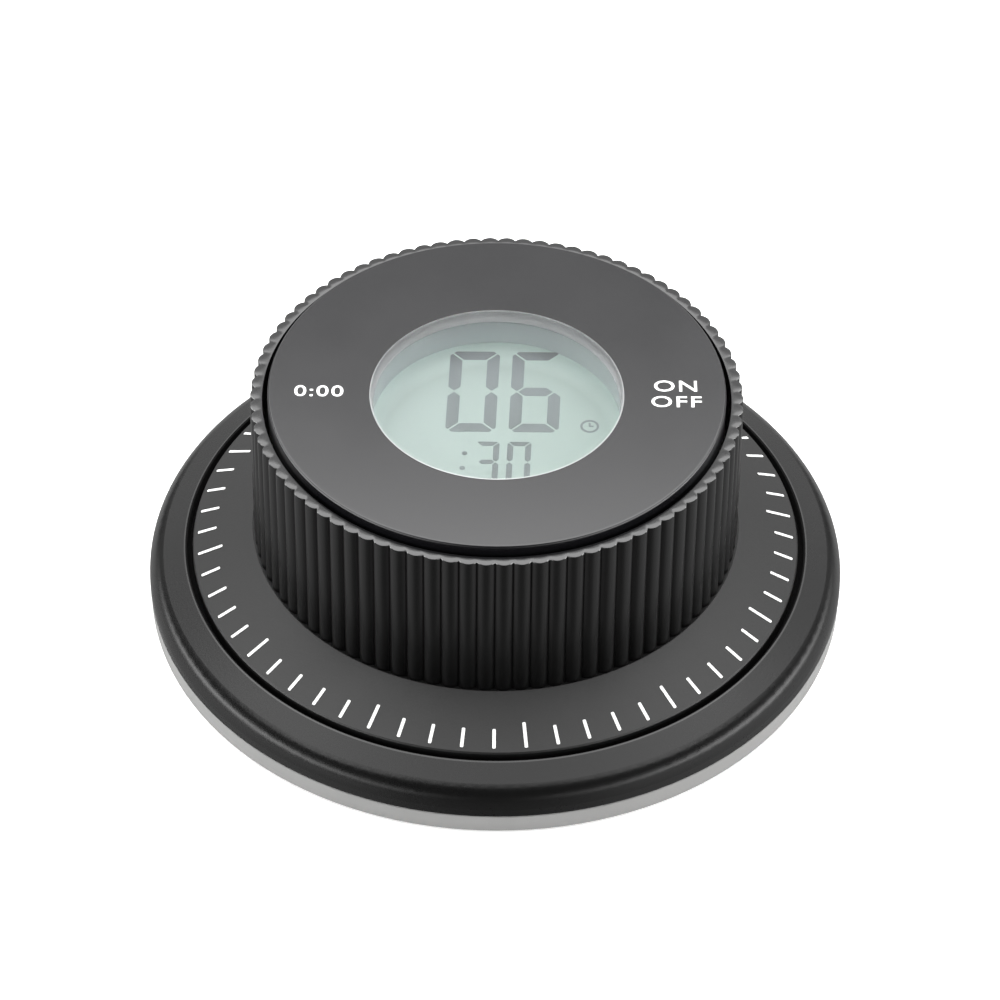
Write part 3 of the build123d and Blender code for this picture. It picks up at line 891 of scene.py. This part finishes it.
def coat(piece: Piece, finish: Finish) -> None:
    """Gives a piece one finish."""
    piece.data.materials.clear()
    piece.data.materials.append(finish.material())


def seat(piece: Piece, body: str, finish: Finish) -> Piece:
    """Finishes a new piece and lets it ride.

    Args:
        piece: the piece, in its place.
        body: the body that it moves with.
        finish: its finish.

    Returns:
        The piece.
    """
    coat(piece, finish)
    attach(piece, body)
    return piece


def circle(name: str, points: int, radius: float, spot: tuple[float, float, float],
           fill: str = "NOTHING") -> Piece:
    """Starts a piece from a circle and leaves it open for editing, all of it selected.

    Args:
        name: the piece's name.
        points: corners on the circle.
        radius: its radius.
        spot: its middle.
        fill: how it is filled.

    Returns:
        The piece.
    """
    deselect()
    bpy.ops.mesh.primitive_circle_add(vertices=points, radius=radius, fill_type=fill, location=spot)
    piece = bpy.context.object
    piece.name = name
    settle()
    edit(piece)
    take_all()
    return piece


@dataclass
class KnobWall:
    """The fluted wall that is gripped: a ring of round ribs with softened edges."""

    flutes: int = 86
    facets: int = 8
    valley: float = 0.5 * MM
    wall: float = 1.5 * MM
    gear_roof: float = 4.3 * MM
    journal: float = 0.4 * MM
    collar: float = 3.0 * MM
    spigot: float = 0.25 * MM
    rim_middle: float = 0.5 * MM
    soft_edge: float = 0.14 * MM
    smooth: float = 28.0
    angle_slack: float = 0.02
    finish: Finish = MouldedPlastic("knob_black", srgb(6, 6, 6), 0.3, 0.2, 0.22 * MM, 0.004 * MM)
    # The rim's top faces take a glossier copy of the same black plastic; the gloss is real, but its
    # lighter colour is painted light on the top.
    rim_finish: Finish = MouldedPlastic(
        "rim_black", srgb(18, 18, 19), 0.16, 0.66, 0.22 * MM, 0.0006 * MM)

    def rib_radius(self, crest: float, share: float) -> float:
        """Gives the wall's radius a share of a pitch away from a crest.

        Args:
            crest: radius at the crest.
            share: 0 at the crest, 0.5 in the valley.

        Returns:
            The radius on the rib's round.
        """
        step = 2 * math.pi / self.flutes
        low = crest - self.valley
        half = low * math.sin(step / 2)
        rise = crest - low * math.cos(step / 2)
        round_r = (half * half + rise * rise) / (2 * rise)
        middle = crest - round_r
        turn = share * step
        return middle * math.cos(turn) + math.sqrt(round_r ** 2 - (middle * math.sin(turn)) ** 2)

    def build(self) -> Piece:
        """Models the wall.

        Returns:
            The dressed piece.
        """
        low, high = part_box("grip_ring")
        crest = high.x
        foot, top = low.z, high.z
        bore = crest - self.wall
        points = self.flutes * self.facets
        piece = circle("knob_wall", points, crest, (0, 0, foot))
        self.press_flutes(crest, foot)
        take_all()
        pull(z=top - foot)
        self.bore_out(points, bore, foot, top)
        for level in (top, foot):
            pick(Pick.EDGES, at_height(level))
            bpy.ops.mesh.bridge_edge_loops()
        on_rim = at_height(top)
        for way in (1, -1):
            pick(Pick.EDGES, lambda spot: (
                on_rim(spot) and way * (spot.xy.length - bore - self.rim_middle) > 0))
            round_edges(self.soft_edge)
        close_up(piece, self.smooth)
        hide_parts("grip_ring")
        seat(piece, "knob", self.finish)
        piece.data.materials.append(self.rim_finish.material())
        # Upward faces at the top get the lighter rim finish: painted light on the top of the one
        # moulding.
        for face in piece.data.polygons:
            face.material_index = int(face.normal.z > 0.5 and face.center.z > top - self.soft_edge)
        return piece

    def press_flutes(self, crest: float, foot: float) -> None:
        """Draws the circle in between the crests.

        Args:
            crest: radius at the crests.
            foot: height of the circle.
        """
        step = 2 * math.pi / self.flutes
        for part in range(1, self.facets // 2 + 1):
            share = part / self.facets
            pick(Pick.VERTS, lambda spot: abs(
                abs((math.atan2(spot.y, spot.x) / step + 0.5) % 1.0 - 0.5) - share) < self.angle_slack)
            gain = self.rib_radius(crest, share) / crest
            grow(gain, gain, (0, 0, foot))

    def bore_out(self, points: int, bore: float, foot: float, top: float) -> None:
        """Adds the inside as a second run of rings, with the ledge that the gear sits under.

        Args:
            points: corners on each ring.
            bore: radius inside the rim.
            foot: lowest height.
            top: highest height.
        """
        ledge = foot + self.gear_roof
        collar = foot + self.collar
        inner = bore - self.journal
        socket = bore + self.spigot
        path = ((bore, ledge), (inner, ledge), (inner, collar), (socket, collar), (socket, foot))
        bpy.ops.mesh.select_all(action="DESELECT")
        bpy.ops.mesh.primitive_circle_add(vertices=points, radius=bore, location=(0, 0, top))
        run_rings((bore, top), path)


@dataclass
class SubAssembly:
    """A group of pieces: the finishes of its carried-over solids and the pieces added to it."""

    def coats(self) -> dict[str, Finish]:
        """Gives the finish of each carried-over solid by its name."""
        return {}

    def build(self) -> list[Piece]:
        """Models the pieces that are added."""
        return []

    def dress(self, nodes: dict[str, Piece]) -> None:
        """Puts the finishes on the solids.

        Args:
            nodes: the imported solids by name.
        """
        for name, finish in self.coats().items():
            coat(nodes[name], finish)
            LOG.info("%s has %s", name, finish.name)


def slab(width: float, height: float) -> Piece:
    """Starts a flat piece at the origin and leaves it open for editing.

    Args:
        width: its size along X.
        height: its size along Y.

    Returns:
        The piece.
    """
    deselect()
    bpy.ops.mesh.primitive_plane_add(size=1.0, location=(0, 0, 0))
    piece = bpy.context.object
    edit(piece)
    take_all()
    grow(width, height)
    return piece


def thicken(depth: float) -> None:
    """Gives the flat piece that is open a thickness upwards."""
    take_all(Pick.FACES)
    pull(z=depth)


def point_end(test: Callable[[Vector], bool], x: float, y: float) -> None:
    """Draws one end of a flat piece out to a point.

    Args:
        test: true for the corners of that end.
        x: how far the point stands out along X.
        y: how far it stands out along Y.
    """
    pick(Pick.EDGES, test)
    pull(x=x, y=y)
    bpy.ops.mesh.merge(type="CENTER")


def stamp(template: Piece, shift: Flat, flip: tuple[int, int]) -> Piece:
    """Copies a flat template, with a mesh of its own.

    Args:
        template: what is copied.
        shift: where the copy goes in X and Y.
        flip: 1 or -1 for X and Y, -1 for a mirrored copy.

    Returns:
        The copy.
    """
    choose(template)
    bpy.ops.object.duplicate(linked=False)
    copy = bpy.context.object
    copy.scale = (*flip, 1.0)
    copy.location = (*shift, 0.0)
    settle()
    return copy


@dataclass
class Knob(SubAssembly):
    """The turning group: the sloping dial with its marks and the fluted wall."""

    wall: KnobWall
    first: float = math.radians(6.1)
    minute: float = 6.0
    copies: int = 11
    outer: float = 36.5 * MM
    short_inner: float = 34.2 * MM
    long_inner: float = 33.5 * MM
    width: float = 0.4 * MM
    line_round: float = 0.13 * MM
    edge_r: float = 37.114 * MM
    edge_z: float = 7.8 * MM
    foot_r: float = 29.714 * MM
    foot_z: float = 10.75 * MM
    print_ink: Finish = PrintInk("mark_white", (0.72, 0.72, 0.71))

    def coats(self) -> dict[str, Finish]:
        """Gives the dial and the gear their finishes."""
        return {
            "dial_ring": MouldedPlastic("dial_black", srgb(6, 6, 6), 0.48, 0.36, 0.3 * MM, 0.01 * MM),
            "ring_gear": ACETAL,
        }

    def mark(self, inner: float, azimuth: float) -> Piece:
        """Models one line of the dial, lying on the slope.

        Args:
            inner: radius of its inner end.
            azimuth: angle from the front towards +X.

        Returns:
            The line.
        """
        slope = math.atan2(self.foot_z - self.edge_z, self.edge_r - self.foot_r)
        middle = (inner + self.outer) / 2
        height = self.edge_z + (self.edge_r - middle) * math.tan(slope)
        piece = slab(self.width, (self.outer - inner) / math.cos(slope))
        round_corners(self.line_round, EDGE_STEPS)
        thicken(INK_T)
        close()
        piece.rotation_euler = (slope, 0.0, azimuth)
        piece.location = (middle * math.sin(azimuth), -middle * math.cos(azimuth), height)
        settle()
        return piece

    def marks(self, name: str, inner: float, steps: tuple[int, ...]) -> Piece:
        """Models the lines of one twelfth of the dial and repeats them round it.

        Args:
            name: the piece's name.
            inner: radius of the lines' inner ends.
            steps: which of the five places in a twelfth they take.

        Returns:
            The dressed piece.
        """
        lines = [self.mark(inner, self.first + math.radians(self.minute * step)) for step in steps]
        piece = join(name, lines)
        edit(piece)
        take_all()
        sweep = math.radians(5 * self.minute * self.copies)
        bpy.ops.mesh.spin(steps=self.copies, dupli=True, angle=sweep, center=(0, 0, 0), axis=(0, 0, 1))
        close_up(piece)
        return seat(piece, "knob", self.print_ink)

    def build(self) -> list[Piece]:
        """Models the wall and the lines."""
        return [
            self.wall.build(),
            self.marks("dial_marks_long", self.long_inner, (0,)),
            self.marks("dial_marks_short", self.short_inner, (1, 2, 3, 4)),
        ]


@dataclass(frozen=True)
class Label:
    """A printed label on the plate: its characters, the middle of its line and its width."""

    name: str
    text: str
    x: float
    y: float
    stretch: float = 1.2


@dataclass
class FacePlate(SubAssembly):
    """The rocking plate with its window and its generic labels."""

    capital: float = 2.75 * MM
    weight: float = 0.015 * MM
    spacing: float = 1.12
    curve_steps: int = 4
    labels: tuple[Label, ...] = (
        Label("label_zero", "0:00", -21.25 * MM, -0.71 * MM, 1.15),
        Label("label_on", "ON", 21.4 * MM, 0.75 * MM),
        Label("label_off", "OFF", 21.4 * MM, -2.05 * MM),
    )
    print_ink: Finish = PrintInk("print_white", (0.93, 0.93, 0.92))

    def coats(self) -> dict[str, Finish]:
        """Gives the plate and its window their finishes."""
        return {
            "face_plate": MouldedPlastic(
                "plate_black", srgb(16, 16, 18), 0.165, 0.56, 0.5 * MM, 0.0003 * MM, 0.05, 0.5),
            "window_lens": BorderedPane("window_clear", (0.99, 1.0, 0.995), 1.49, 0.015),
        }

    def label(self, label: Label) -> Piece:
        """Sets one label in type and lays it on the plate.

        Args:
            label: what it says and where.

        Returns:
            The dressed piece.
        """
        _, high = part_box("face_plate")
        deselect()
        bpy.ops.object.text_add(location=(0, 0, 0))
        piece = bpy.context.object
        piece.name = label.name
        piece.data.body = label.text
        piece.data.size = self.capital
        piece.data.align_x = "CENTER"
        piece.data.align_y = "CENTER"
        piece.data.offset = self.weight
        piece.data.space_character = self.spacing
        piece.data.extrude = INK_T / 2
        piece.data.resolution_u = self.curve_steps
        bpy.ops.object.convert(target="MESH")
        piece = bpy.context.object
        piece.scale = (label.stretch, 1.0, 1.0)
        piece.location = (label.x, label.y, high.z + INK_T / 2)
        settle()
        edit(piece)
        close_up(piece)
        return seat(piece, "face", self.print_ink)

    def build(self) -> list[Piece]:
        """Sets the labels."""
        return [self.label(label) for label in self.labels]


class Bar(Enum):
    """The seven bars of a display digit."""

    TOP = "top"
    MIDDLE = "middle"
    BOTTOM = "bottom"
    UPPER_LEFT = "upper left"
    UPPER_RIGHT = "upper right"
    LOWER_LEFT = "lower left"
    LOWER_RIGHT = "lower right"


LIT: dict[int, tuple[Bar, ...]] = {
    0: (Bar.TOP, Bar.BOTTOM, Bar.UPPER_LEFT, Bar.UPPER_RIGHT, Bar.LOWER_LEFT, Bar.LOWER_RIGHT),
    3: (Bar.TOP, Bar.MIDDLE, Bar.BOTTOM, Bar.UPPER_RIGHT, Bar.LOWER_RIGHT),
    6: (Bar.TOP, Bar.MIDDLE, Bar.BOTTOM, Bar.UPPER_LEFT, Bar.LOWER_LEFT, Bar.LOWER_RIGHT),
}


@dataclass
class DigitRow:
    """A row of display digits of one size."""

    name: str
    digits: tuple[int, ...]
    width: float
    height: float
    stroke: float
    gap: float
    first_x: float
    pitch: float
    middle_y: float
    slant: float = 0.035
    corner: float = 0.5
    mitre: float = 0.707
    points: float = 1.83
    end_slack: float = 1e-6

    def trim(self, way: int) -> None:
        """Cuts a corner of the digit off the bar that is open.

        Args:
            way: -1 for the upper left corner, 1 for the upper right.
        """
        start = self.width / 2 - self.corner * self.stroke
        take_all()
        bpy.ops.mesh.bisect(
            plane_co=(way * start, self.height / 2, 0), plane_no=(way, 1, 0), clear_outer=True)

    def cap(self) -> Piece:
        """Models the top bar, mitred at both ends and trimmed at its corners.

        Returns:
            The flat bar.
        """
        outer = self.width - 2 * self.mitre * self.gap
        piece = slab(outer, self.stroke)
        pick(Pick.EDGES, lambda spot: spot.y < 0)
        grow((outer - 2 * self.stroke) / outer, 1.0)
        take_all()
        move(y=(self.height - self.stroke) / 2)
        self.trim(-1)
        self.trim(1)
        close()
        return piece

    def side(self) -> Piece:
        """Models the upper left bar, mitred at its top and pointed at its foot.

        Returns:
            The flat bar.
        """
        top = self.height / 2 - self.mitre * self.gap
        tip = self.gap / 2
        shoulder = tip + self.stroke / 2
        piece = slab(self.stroke, top - shoulder)
        pick(Pick.VERTS, lambda spot: spot.y > 0 and spot.x > 0)
        move(y=-self.stroke)
        point_end(lambda spot: spot.y < 0, 0.0, tip - shoulder)
        take_all()
        move((self.stroke - self.width) / 2, (top + shoulder) / 2)
        self.trim(-1)
        close()
        return piece

    def middle(self) -> Piece:
        """Models the middle bar, pointed at both ends.

        Returns:
            The flat bar.
        """
        reach = self.stroke / 2
        body = self.width - 2 * self.stroke - self.points * self.gap
        end = body / 2 - self.end_slack
        piece = slab(body, self.stroke)
        point_end(lambda spot: spot.x > end, reach, 0.0)
        point_end(lambda spot: spot.x < -end, -reach, 0.0)
        close()
        return piece

    def build(self) -> list[Piece]:
        """Copies the three bars to every lit place.

        Returns:
            The flat bars of the whole row.
        """
        cap, side, middle = self.cap(), self.side(), self.middle()
        kinds = {
            Bar.TOP: (cap, (1, 1)), Bar.BOTTOM: (cap, (1, -1)), Bar.MIDDLE: (middle, (1, 1)),
            Bar.UPPER_LEFT: (side, (1, 1)), Bar.UPPER_RIGHT: (side, (-1, 1)),
            Bar.LOWER_LEFT: (side, (1, -1)), Bar.LOWER_RIGHT: (side, (-1, -1)),
        }
        bars = []
        for place, digit in enumerate(self.digits):
            for bar in LIT[digit]:
                template, flip = kinds[bar]
                bars.append(stamp(template, (self.first_x + place * self.pitch, 0.0), flip))
        for template in (cap, side, middle):
            bpy.data.objects.remove(template)
        lean = Matrix(((1, self.slant, 0, 0), (0, 1, 0, self.middle_y), (0, 0, 1, 0), (0, 0, 0, 1)))
        for bar in bars:
            bar.data.transform(lean)
        return bars


@dataclass
class Display(SubAssembly):
    """The display: film, glass, frame, and the marks that are lit on it."""

    minutes: DigitRow
    seconds: DigitRow
    dots: tuple[Flat, ...] = ((-3.79 * MM, -5.21 * MM), (-4.03 * MM, -7.83 * MM))
    dot_r: float = 0.36 * MM
    dot_corners: int = 8
    dot_round: float = 0.08 * MM
    sign_x: float = 11.2 * MM
    sign_y: float = -0.2 * MM
    sign_r: float = 1.15 * MM
    sign_corners: int = 32
    sign_line: float = 0.3 * MM
    hands: tuple[tuple[float, float, float, float], ...] = (
        (0.24 * MM, 0.66 * MM, 0.0, 0.28 * MM), (0.54 * MM, 0.24 * MM, 0.2 * MM, 0.0))
    hand_round: float = 0.05 * MM
    round_steps: int = 2
    well_foot: float = 25.0 * MM
    # The display ink is painted lighter towards the back, against the shade there.
    ink: Finish = DisplayInk("display_ink", srgb(126, 133, 136), srgb(114, 122, 123))

    def coats(self) -> dict[str, Finish]:
        """Gives the display's solids their finishes."""
        _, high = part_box("lcd_frame")
        glass = ClearPane("display_glass", (0.96, 0.99, 0.97), 1.52)
        return {
            # The film's colours carry painted light: lighter on the left than on the right.
            "lcd_front_polariser": DisplayFilm(
                "display_film", srgb(164, 178, 174), srgb(156, 172, 166)),
            "lcd_front_glass": glass,
            "lcd_rear_glass": glass,
            "lcd_reflector": SheetMetal("reflector_silver", srgb(214, 216, 214), 0.35),
            # The well's wall is painted lighter and greener at its foot and darker at its top.
            "lcd_frame": WellWall(
                "frame_pale", srgb(182, 188, 191), srgb(198, 207, 209), self.well_foot, high.z),
            "lcd_cushion": Foam("foam_grey", srgb(92, 92, 96)),
            "zebra_strips": Striped("zebra_rubber", srgb(24, 24, 25), srgb(205, 200, 190), 0.18 * MM),
        }

    def dot(self, x: float, y: float) -> Piece:
        """Models one dot of the colon as a small rounded lozenge.

        Args:
            x: its place along X.
            y: its place along Y.

        Returns:
            The flat dot.
        """
        piece = circle("dot", self.dot_corners, self.dot_r, (x, y, 0), "NGON")
        round_corners(self.dot_round, self.round_steps)
        close()
        return piece

    def sign(self) -> list[Piece]:
        """Models a plain clock sign.

        Returns:
            The flat ring and its two hands.
        """
        made = [circle("sign", self.sign_corners, self.sign_r, (self.sign_x, self.sign_y, 0), "NGON")]
        bpy.ops.mesh.inset(thickness=self.sign_line)
        bpy.ops.mesh.delete(type="FACE")
        close()
        for width, height, x, y in self.hands:
            made.append(slab(width, height))
            round_corners(self.hand_round, self.round_steps)
            take_all()
            move(self.sign_x + x, self.sign_y + y)
            close()
        return made

    def lay(self, name: str, flats: list[Piece]) -> Piece:
        """Makes one piece of flat marks and lays it on the film.

        Args:
            name: the piece's name.
            flats: the flat marks.

        Returns:
            The dressed piece.
        """
        _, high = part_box("lcd_front_polariser")
        piece = join(name, flats)
        edit(piece)
        thicken(INK_T)
        take_all()
        move(z=high.z)
        close_up(piece)
        return seat(piece, "base", self.ink)

    def build(self) -> list[Piece]:
        """Models the lit digits, the colon and the clock sign."""
        return [
            self.lay(self.minutes.name, self.minutes.build()),
            self.lay(self.seconds.name, self.seconds.build()),
            self.lay("display_colon", [self.dot(x, y) for x, y in self.dots]),
            self.lay("display_sign", self.sign()),
        ]


@dataclass
class Housing(SubAssembly):
    """The standing shell: outer ring, grey foot, cover, door and screws."""

    def coats(self) -> dict[str, Finish]:
        """Gives the shell's solids their finishes."""
        cover = MouldedPlastic("cover_black", srgb(36, 36, 37), 0.55, 0.4, 0.35 * MM, 0.012 * MM)
        return {
            "base_housing": GroovedPlastic(
                "ring_black", srgb(8, 8, 8), 0.28, 0.2, 0.3 * MM, 0.008 * MM),
            "foot_ring": SoftRubber("foot_grey", srgb(123, 123, 122)),
            "bottom_cover": cover,
            "battery_door": cover,
            "bottom_screws": SCREW_STEEL,
        }


@dataclass
class Movement(SubAssembly):
    """What holds the knob and reads its turning."""

    def coats(self) -> dict[str, Finish]:
        """Gives the movement's solids their finishes."""
        return {
            "chassis": MouldedPlastic(
                "chassis_black", srgb(40, 40, 42), 0.5, 0.4, 0.35 * MM, 0.008 * MM),
            "chassis_screws": SCREW_STEEL,
            "glide_ring": ACETAL,
            "encoder_pinion": ACETAL,
            "encoder_body": MouldedPlastic(
                "encoder_blue", srgb(52, 82, 140), 0.4, 0.5, 0.3 * MM, 0.004 * MM),
            "pivot_pins": SheetMetal("pin_steel", srgb(196, 196, 198), 0.22),
        }


@dataclass
class Works(SubAssembly):
    """The board with its parts and the rubber keys under the plate."""

    key_corners: int = 32
    key_foot: float = 2.3 * MM
    key_top: float = 1.6 * MM
    key_wall: float = 0.5 * MM
    key_flange: float = 0.6 * MM
    key_round: float = 0.15 * MM
    key_pressed: float = 0.8
    key_finish: Finish = SoftRubber("key_rubber", srgb(168, 170, 172), 0.65)

    def key(self, name: str, node: str) -> Piece:
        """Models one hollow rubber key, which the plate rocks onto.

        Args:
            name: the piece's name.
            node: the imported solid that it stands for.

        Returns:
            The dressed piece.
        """
        low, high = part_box(node)
        x = (low.x + high.x) / 2
        waist = low.z + self.key_flange
        pocket = (self.key_top - self.key_wall, high.z - 2 * self.key_wall)
        path = (
            (self.key_foot - self.key_wall, low.z), (high.x - x, low.z), (high.x - x, waist),
            (self.key_foot, waist), (self.key_top, high.z - self.key_wall), (self.key_top, high.z),
        )
        piece = circle(name, self.key_corners, pocket[0], (x, 0, pocket[1]))
        run_rings(pocket, path, x)
        for level in (pocket[1], high.z):
            pick(Pick.EDGES, at_height(level))
            bpy.ops.mesh.edge_face_add()
        pick(Pick.EDGES, at_height(high.z))
        round_edges(self.key_round)
        close_up(piece)
        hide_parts(node)
        seat(piece, "base", self.key_finish)
        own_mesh(piece)
        return piece

    def build(self) -> list[Piece]:
        """Models the two keys."""
        return [self.key("mode_key", "mode_key_dome"), self.key("start_key", "start_key_dome")]

    def coats(self) -> dict[str, Finish]:
        """Gives the board's solids their finishes."""
        return {
            "main_pcb": BoardMask(
                "board_green", srgb(22, 84, 50), srgb(44, 120, 72), srgb(206, 205, 196)),
            "controller_blob": MouldedPlastic(
                "resin_black", srgb(22, 22, 23), 0.18, 0.5, 1.2 * MM, 0.02 * MM),
            "buzzer": MouldedPlastic("sounder_black", srgb(30, 30, 31), 0.4, 0.5, 0.3 * MM, 0.006 * MM),
            "clock_crystal": SheetMetal("can_silver", srgb(206, 207, 208), 0.28),
        }


@dataclass
class Power(SubAssembly):
    """The cells with their contacts and leads."""

    def coats(self) -> dict[str, Finish]:
        """Gives the cells and contacts their finishes."""
        _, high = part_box("battery_cell_a")
        wrap = CellWrap("cell_wrap", srgb(58, 66, 78), srgb(176, 132, 62), srgb(206, 207, 208), high.x)
        nickel = SheetMetal("contact_nickel", srgb(214, 208, 194), 0.25)
        return {
            "battery_cell_a": wrap,
            "battery_cell_b": wrap,
            "battery_springs": nickel,
            "battery_link": nickel,
            "battery_terminals": nickel,
            "battery_leads": MouldedPlastic(
                "lead_red", srgb(168, 28, 26), 0.42, 0.5, 0.4 * MM, 0.004 * MM),
        }


@dataclass
class Studio:
    """Floor, soft light and camera."""

    target_z: float = 14.0 * MM
    elevation: float = math.radians(42.87)
    distance: float = 0.603
    focal_px: float = 4946.0
    middle_px: Flat = (495.8, 499.7)
    frame_px: float = 1000.0
    roll: float = math.radians(0.55)
    sensor: float = 36.0
    box_height: float = 0.72
    box_front: float = -0.2
    box_back: float = 0.72
    box_width: float = 1.1
    box_radiance: float = 3.6
    sweep: float = 1.1
    sweep_side: float = 1.6
    side_glow: float = 15.0
    dim_front: float = 0.06
    sweep_way: Flat = (0.763, 0.389)
    sweep_edge: float = 0.06
    sweep_lean: float = 0.27
    sweep_start: float = 0.15
    corner_side: Flat = (0.02, 0.2)
    corner_up: Flat = (0.15, 0.45)
    glow_foot: Flat = (0.1, 0.18)
    glow_head: Flat = (0.38, 0.3)
    glow_side: Flat = (0.0, 0.8)
    glow_back: Flat = (0.75, 0.1)
    beside: Flat = (4 / 360, 42 / 360)
    behind: Flat = (80 / 360, 120 / 360)
    far: Flat = (-0.65, -0.2)
    far_gain: float = 1.2
    horizon: float = 0.05
    below_front: float = 0.4
    below_side: float = 0.9
    below_back: float = 0.5
    floor_level: float = 0.8
    floor_glow: float = 0.4
    floor_size: float = 8.0
    floor_z: float = -0.02 * MM

    def floor(self) -> None:
        """Lays the pale floor."""
        deselect()
        bpy.ops.mesh.primitive_plane_add(size=self.floor_size, location=(0, 0, self.floor_z))
        piece = bpy.context.object
        piece.name = "studio_floor"
        coat(piece, StudioWhite("studio_white", self.floor_level, self.floor_glow))
        piece.visible_glossy = False

    def soft_box(self) -> None:
        """Hangs the soft box overhead."""
        depth = self.box_back - self.box_front
        lamp = bpy.data.lights.new("soft_box", "AREA")
        lamp.shape = "RECTANGLE"
        lamp.size = self.box_width
        lamp.size_y = depth
        lamp.energy = self.box_radiance * math.pi * self.box_width * depth
        hung = bpy.data.objects.new("soft_box", lamp)
        hung.location = (0.0, (self.box_front + self.box_back) / 2, self.box_height)
        bpy.context.scene.collection.objects.link(hung)

    def room(self, sheet: NodeSheet, way: Wire) -> Wire:
        """Draws the room's light: a white sweep over the back, a glow at each side, a dim front.

        Args:
            sheet: the world's node sheet.
            way: the direction that is looked in.

        Returns:
            How bright that direction is.
        """
        across, back, up = sheet.axes(way)
        aside = across * across
        reach = self.sweep_way[0] * up + self.sweep_way[1] * back
        within = sheet.spread(reach * reach - aside, -self.sweep_edge, self.sweep_edge) * (reach > 0.0)
        begun = sheet.spread(back + self.sweep_lean * up, -self.sweep_start, self.sweep_start)
        corner = sheet.spread(aside, *self.corner_side) * sheet.spread(up, *self.corner_up)
        sweep = within * begun * (self.sweep + corner * self.sweep_side)
        band = sheet.spread(up, *self.glow_foot) * sheet.spread(up, *self.glow_head)
        sides = sheet.spread(aside, *self.glow_side) * sheet.spread(back, *self.glow_back)
        glow = band * sides * self.side_glow
        bearing = sheet.wire(
            "Fac", "ShaderNodeTexGradient", {"gradient_type": "RADIAL"}, {"Vector": way})
        turn = (bearing + 0.25) % 1.0 - 0.5
        beside = sheet.spread(turn * turn, self.beside[0] ** 2, self.beside[1] ** 2)
        behind = sheet.spread(turn * turn, self.behind[0] ** 2, self.behind[1] ** 2)
        floor = self.below_front + beside * (self.below_side - self.below_front)
        floor = floor + behind * (self.below_back - self.below_side)
        floor = floor * (1.0 + sheet.spread(up, *self.far) * beside * self.far_gain)
        above = sheet.spread(up, -self.horizon, self.horizon)
        return floor + above * (sweep + glow + self.dim_front - floor)

    def light(self) -> None:
        """Hangs the soft box and sets the room's light."""
        self.soft_box()
        world = bpy.data.worlds.new("studio_room")
        world.use_nodes = True
        sheet = NodeSheet(world.node_tree)
        level = self.room(sheet, sheet.wire("Generated", "ShaderNodeTexCoord"))
        room = sheet.wire("Background", "ShaderNodeBackground", {}, {
            "Color": rgba(WHITE), "Strength": level})
        sheet.node("ShaderNodeOutputWorld", {}, {"Surface": room})
        bpy.context.scene.world = world
        bpy.context.scene.view_settings.view_transform = "Standard"

    def camera(self) -> None:
        """Sets the camera at the photograph's angle."""
        back = Vector((0.0, -math.cos(self.elevation), math.sin(self.elevation)))
        data = bpy.data.cameras.new("studio_camera")
        data.sensor_width = self.sensor
        data.lens = self.focal_px / self.frame_px * self.sensor
        data.shift_x = 0.5 - self.middle_px[0] / self.frame_px
        data.shift_y = self.middle_px[1] / self.frame_px - 0.5
        held = bpy.data.objects.new("studio_camera", data)
        held.location = Vector((0.0, 0.0, self.target_z)) + back * self.distance
        held.rotation_mode = "QUATERNION"
        held.rotation_quaternion = (-back).to_track_quat("-Z", "Y") @ Quaternion((0, 0, 1), self.roll)
        bpy.context.scene.collection.objects.link(held)
        bpy.context.scene.camera = held


def main() -> None:
    """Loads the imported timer, dresses and completes it, and sets the studio."""
    logging.basicConfig(level=logging.INFO, format="%(name)s: %(message)s")
    for left_over in list(bpy.data.objects):
        bpy.data.objects.remove(left_over)
    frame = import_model()
    minutes = DigitRow(
        "display_minutes", (0, 6), width=6.05 * MM, height=14.55 * MM, stroke=1.5 * MM, gap=0.24 * MM,
        first_x=-2.9 * MM, pitch=7.6 * MM, middle_y=5.92 * MM)
    seconds = DigitRow(
        "display_seconds", (3, 0), width=2.87 * MM, height=7.15 * MM, stroke=0.72 * MM, gap=0.15 * MM,
        first_x=-1.16 * MM, pitch=3.82 * MM, middle_y=-6.7 * MM)
    groups: list[SubAssembly] = [
        Housing(), Knob(KnobWall()), FacePlate(), Display(minutes, seconds),
        Movement(), Works(), Power(),
    ]
    for group in groups:
        group.dress(frame["nodes"])
        for piece in group.build():
            LOG.info("%s has %d faces", piece.name, len(piece.data.polygons))
    studio = Studio()
    studio.floor()
    studio.light()
    studio.camera()


if __name__ == "__main__":
    main()
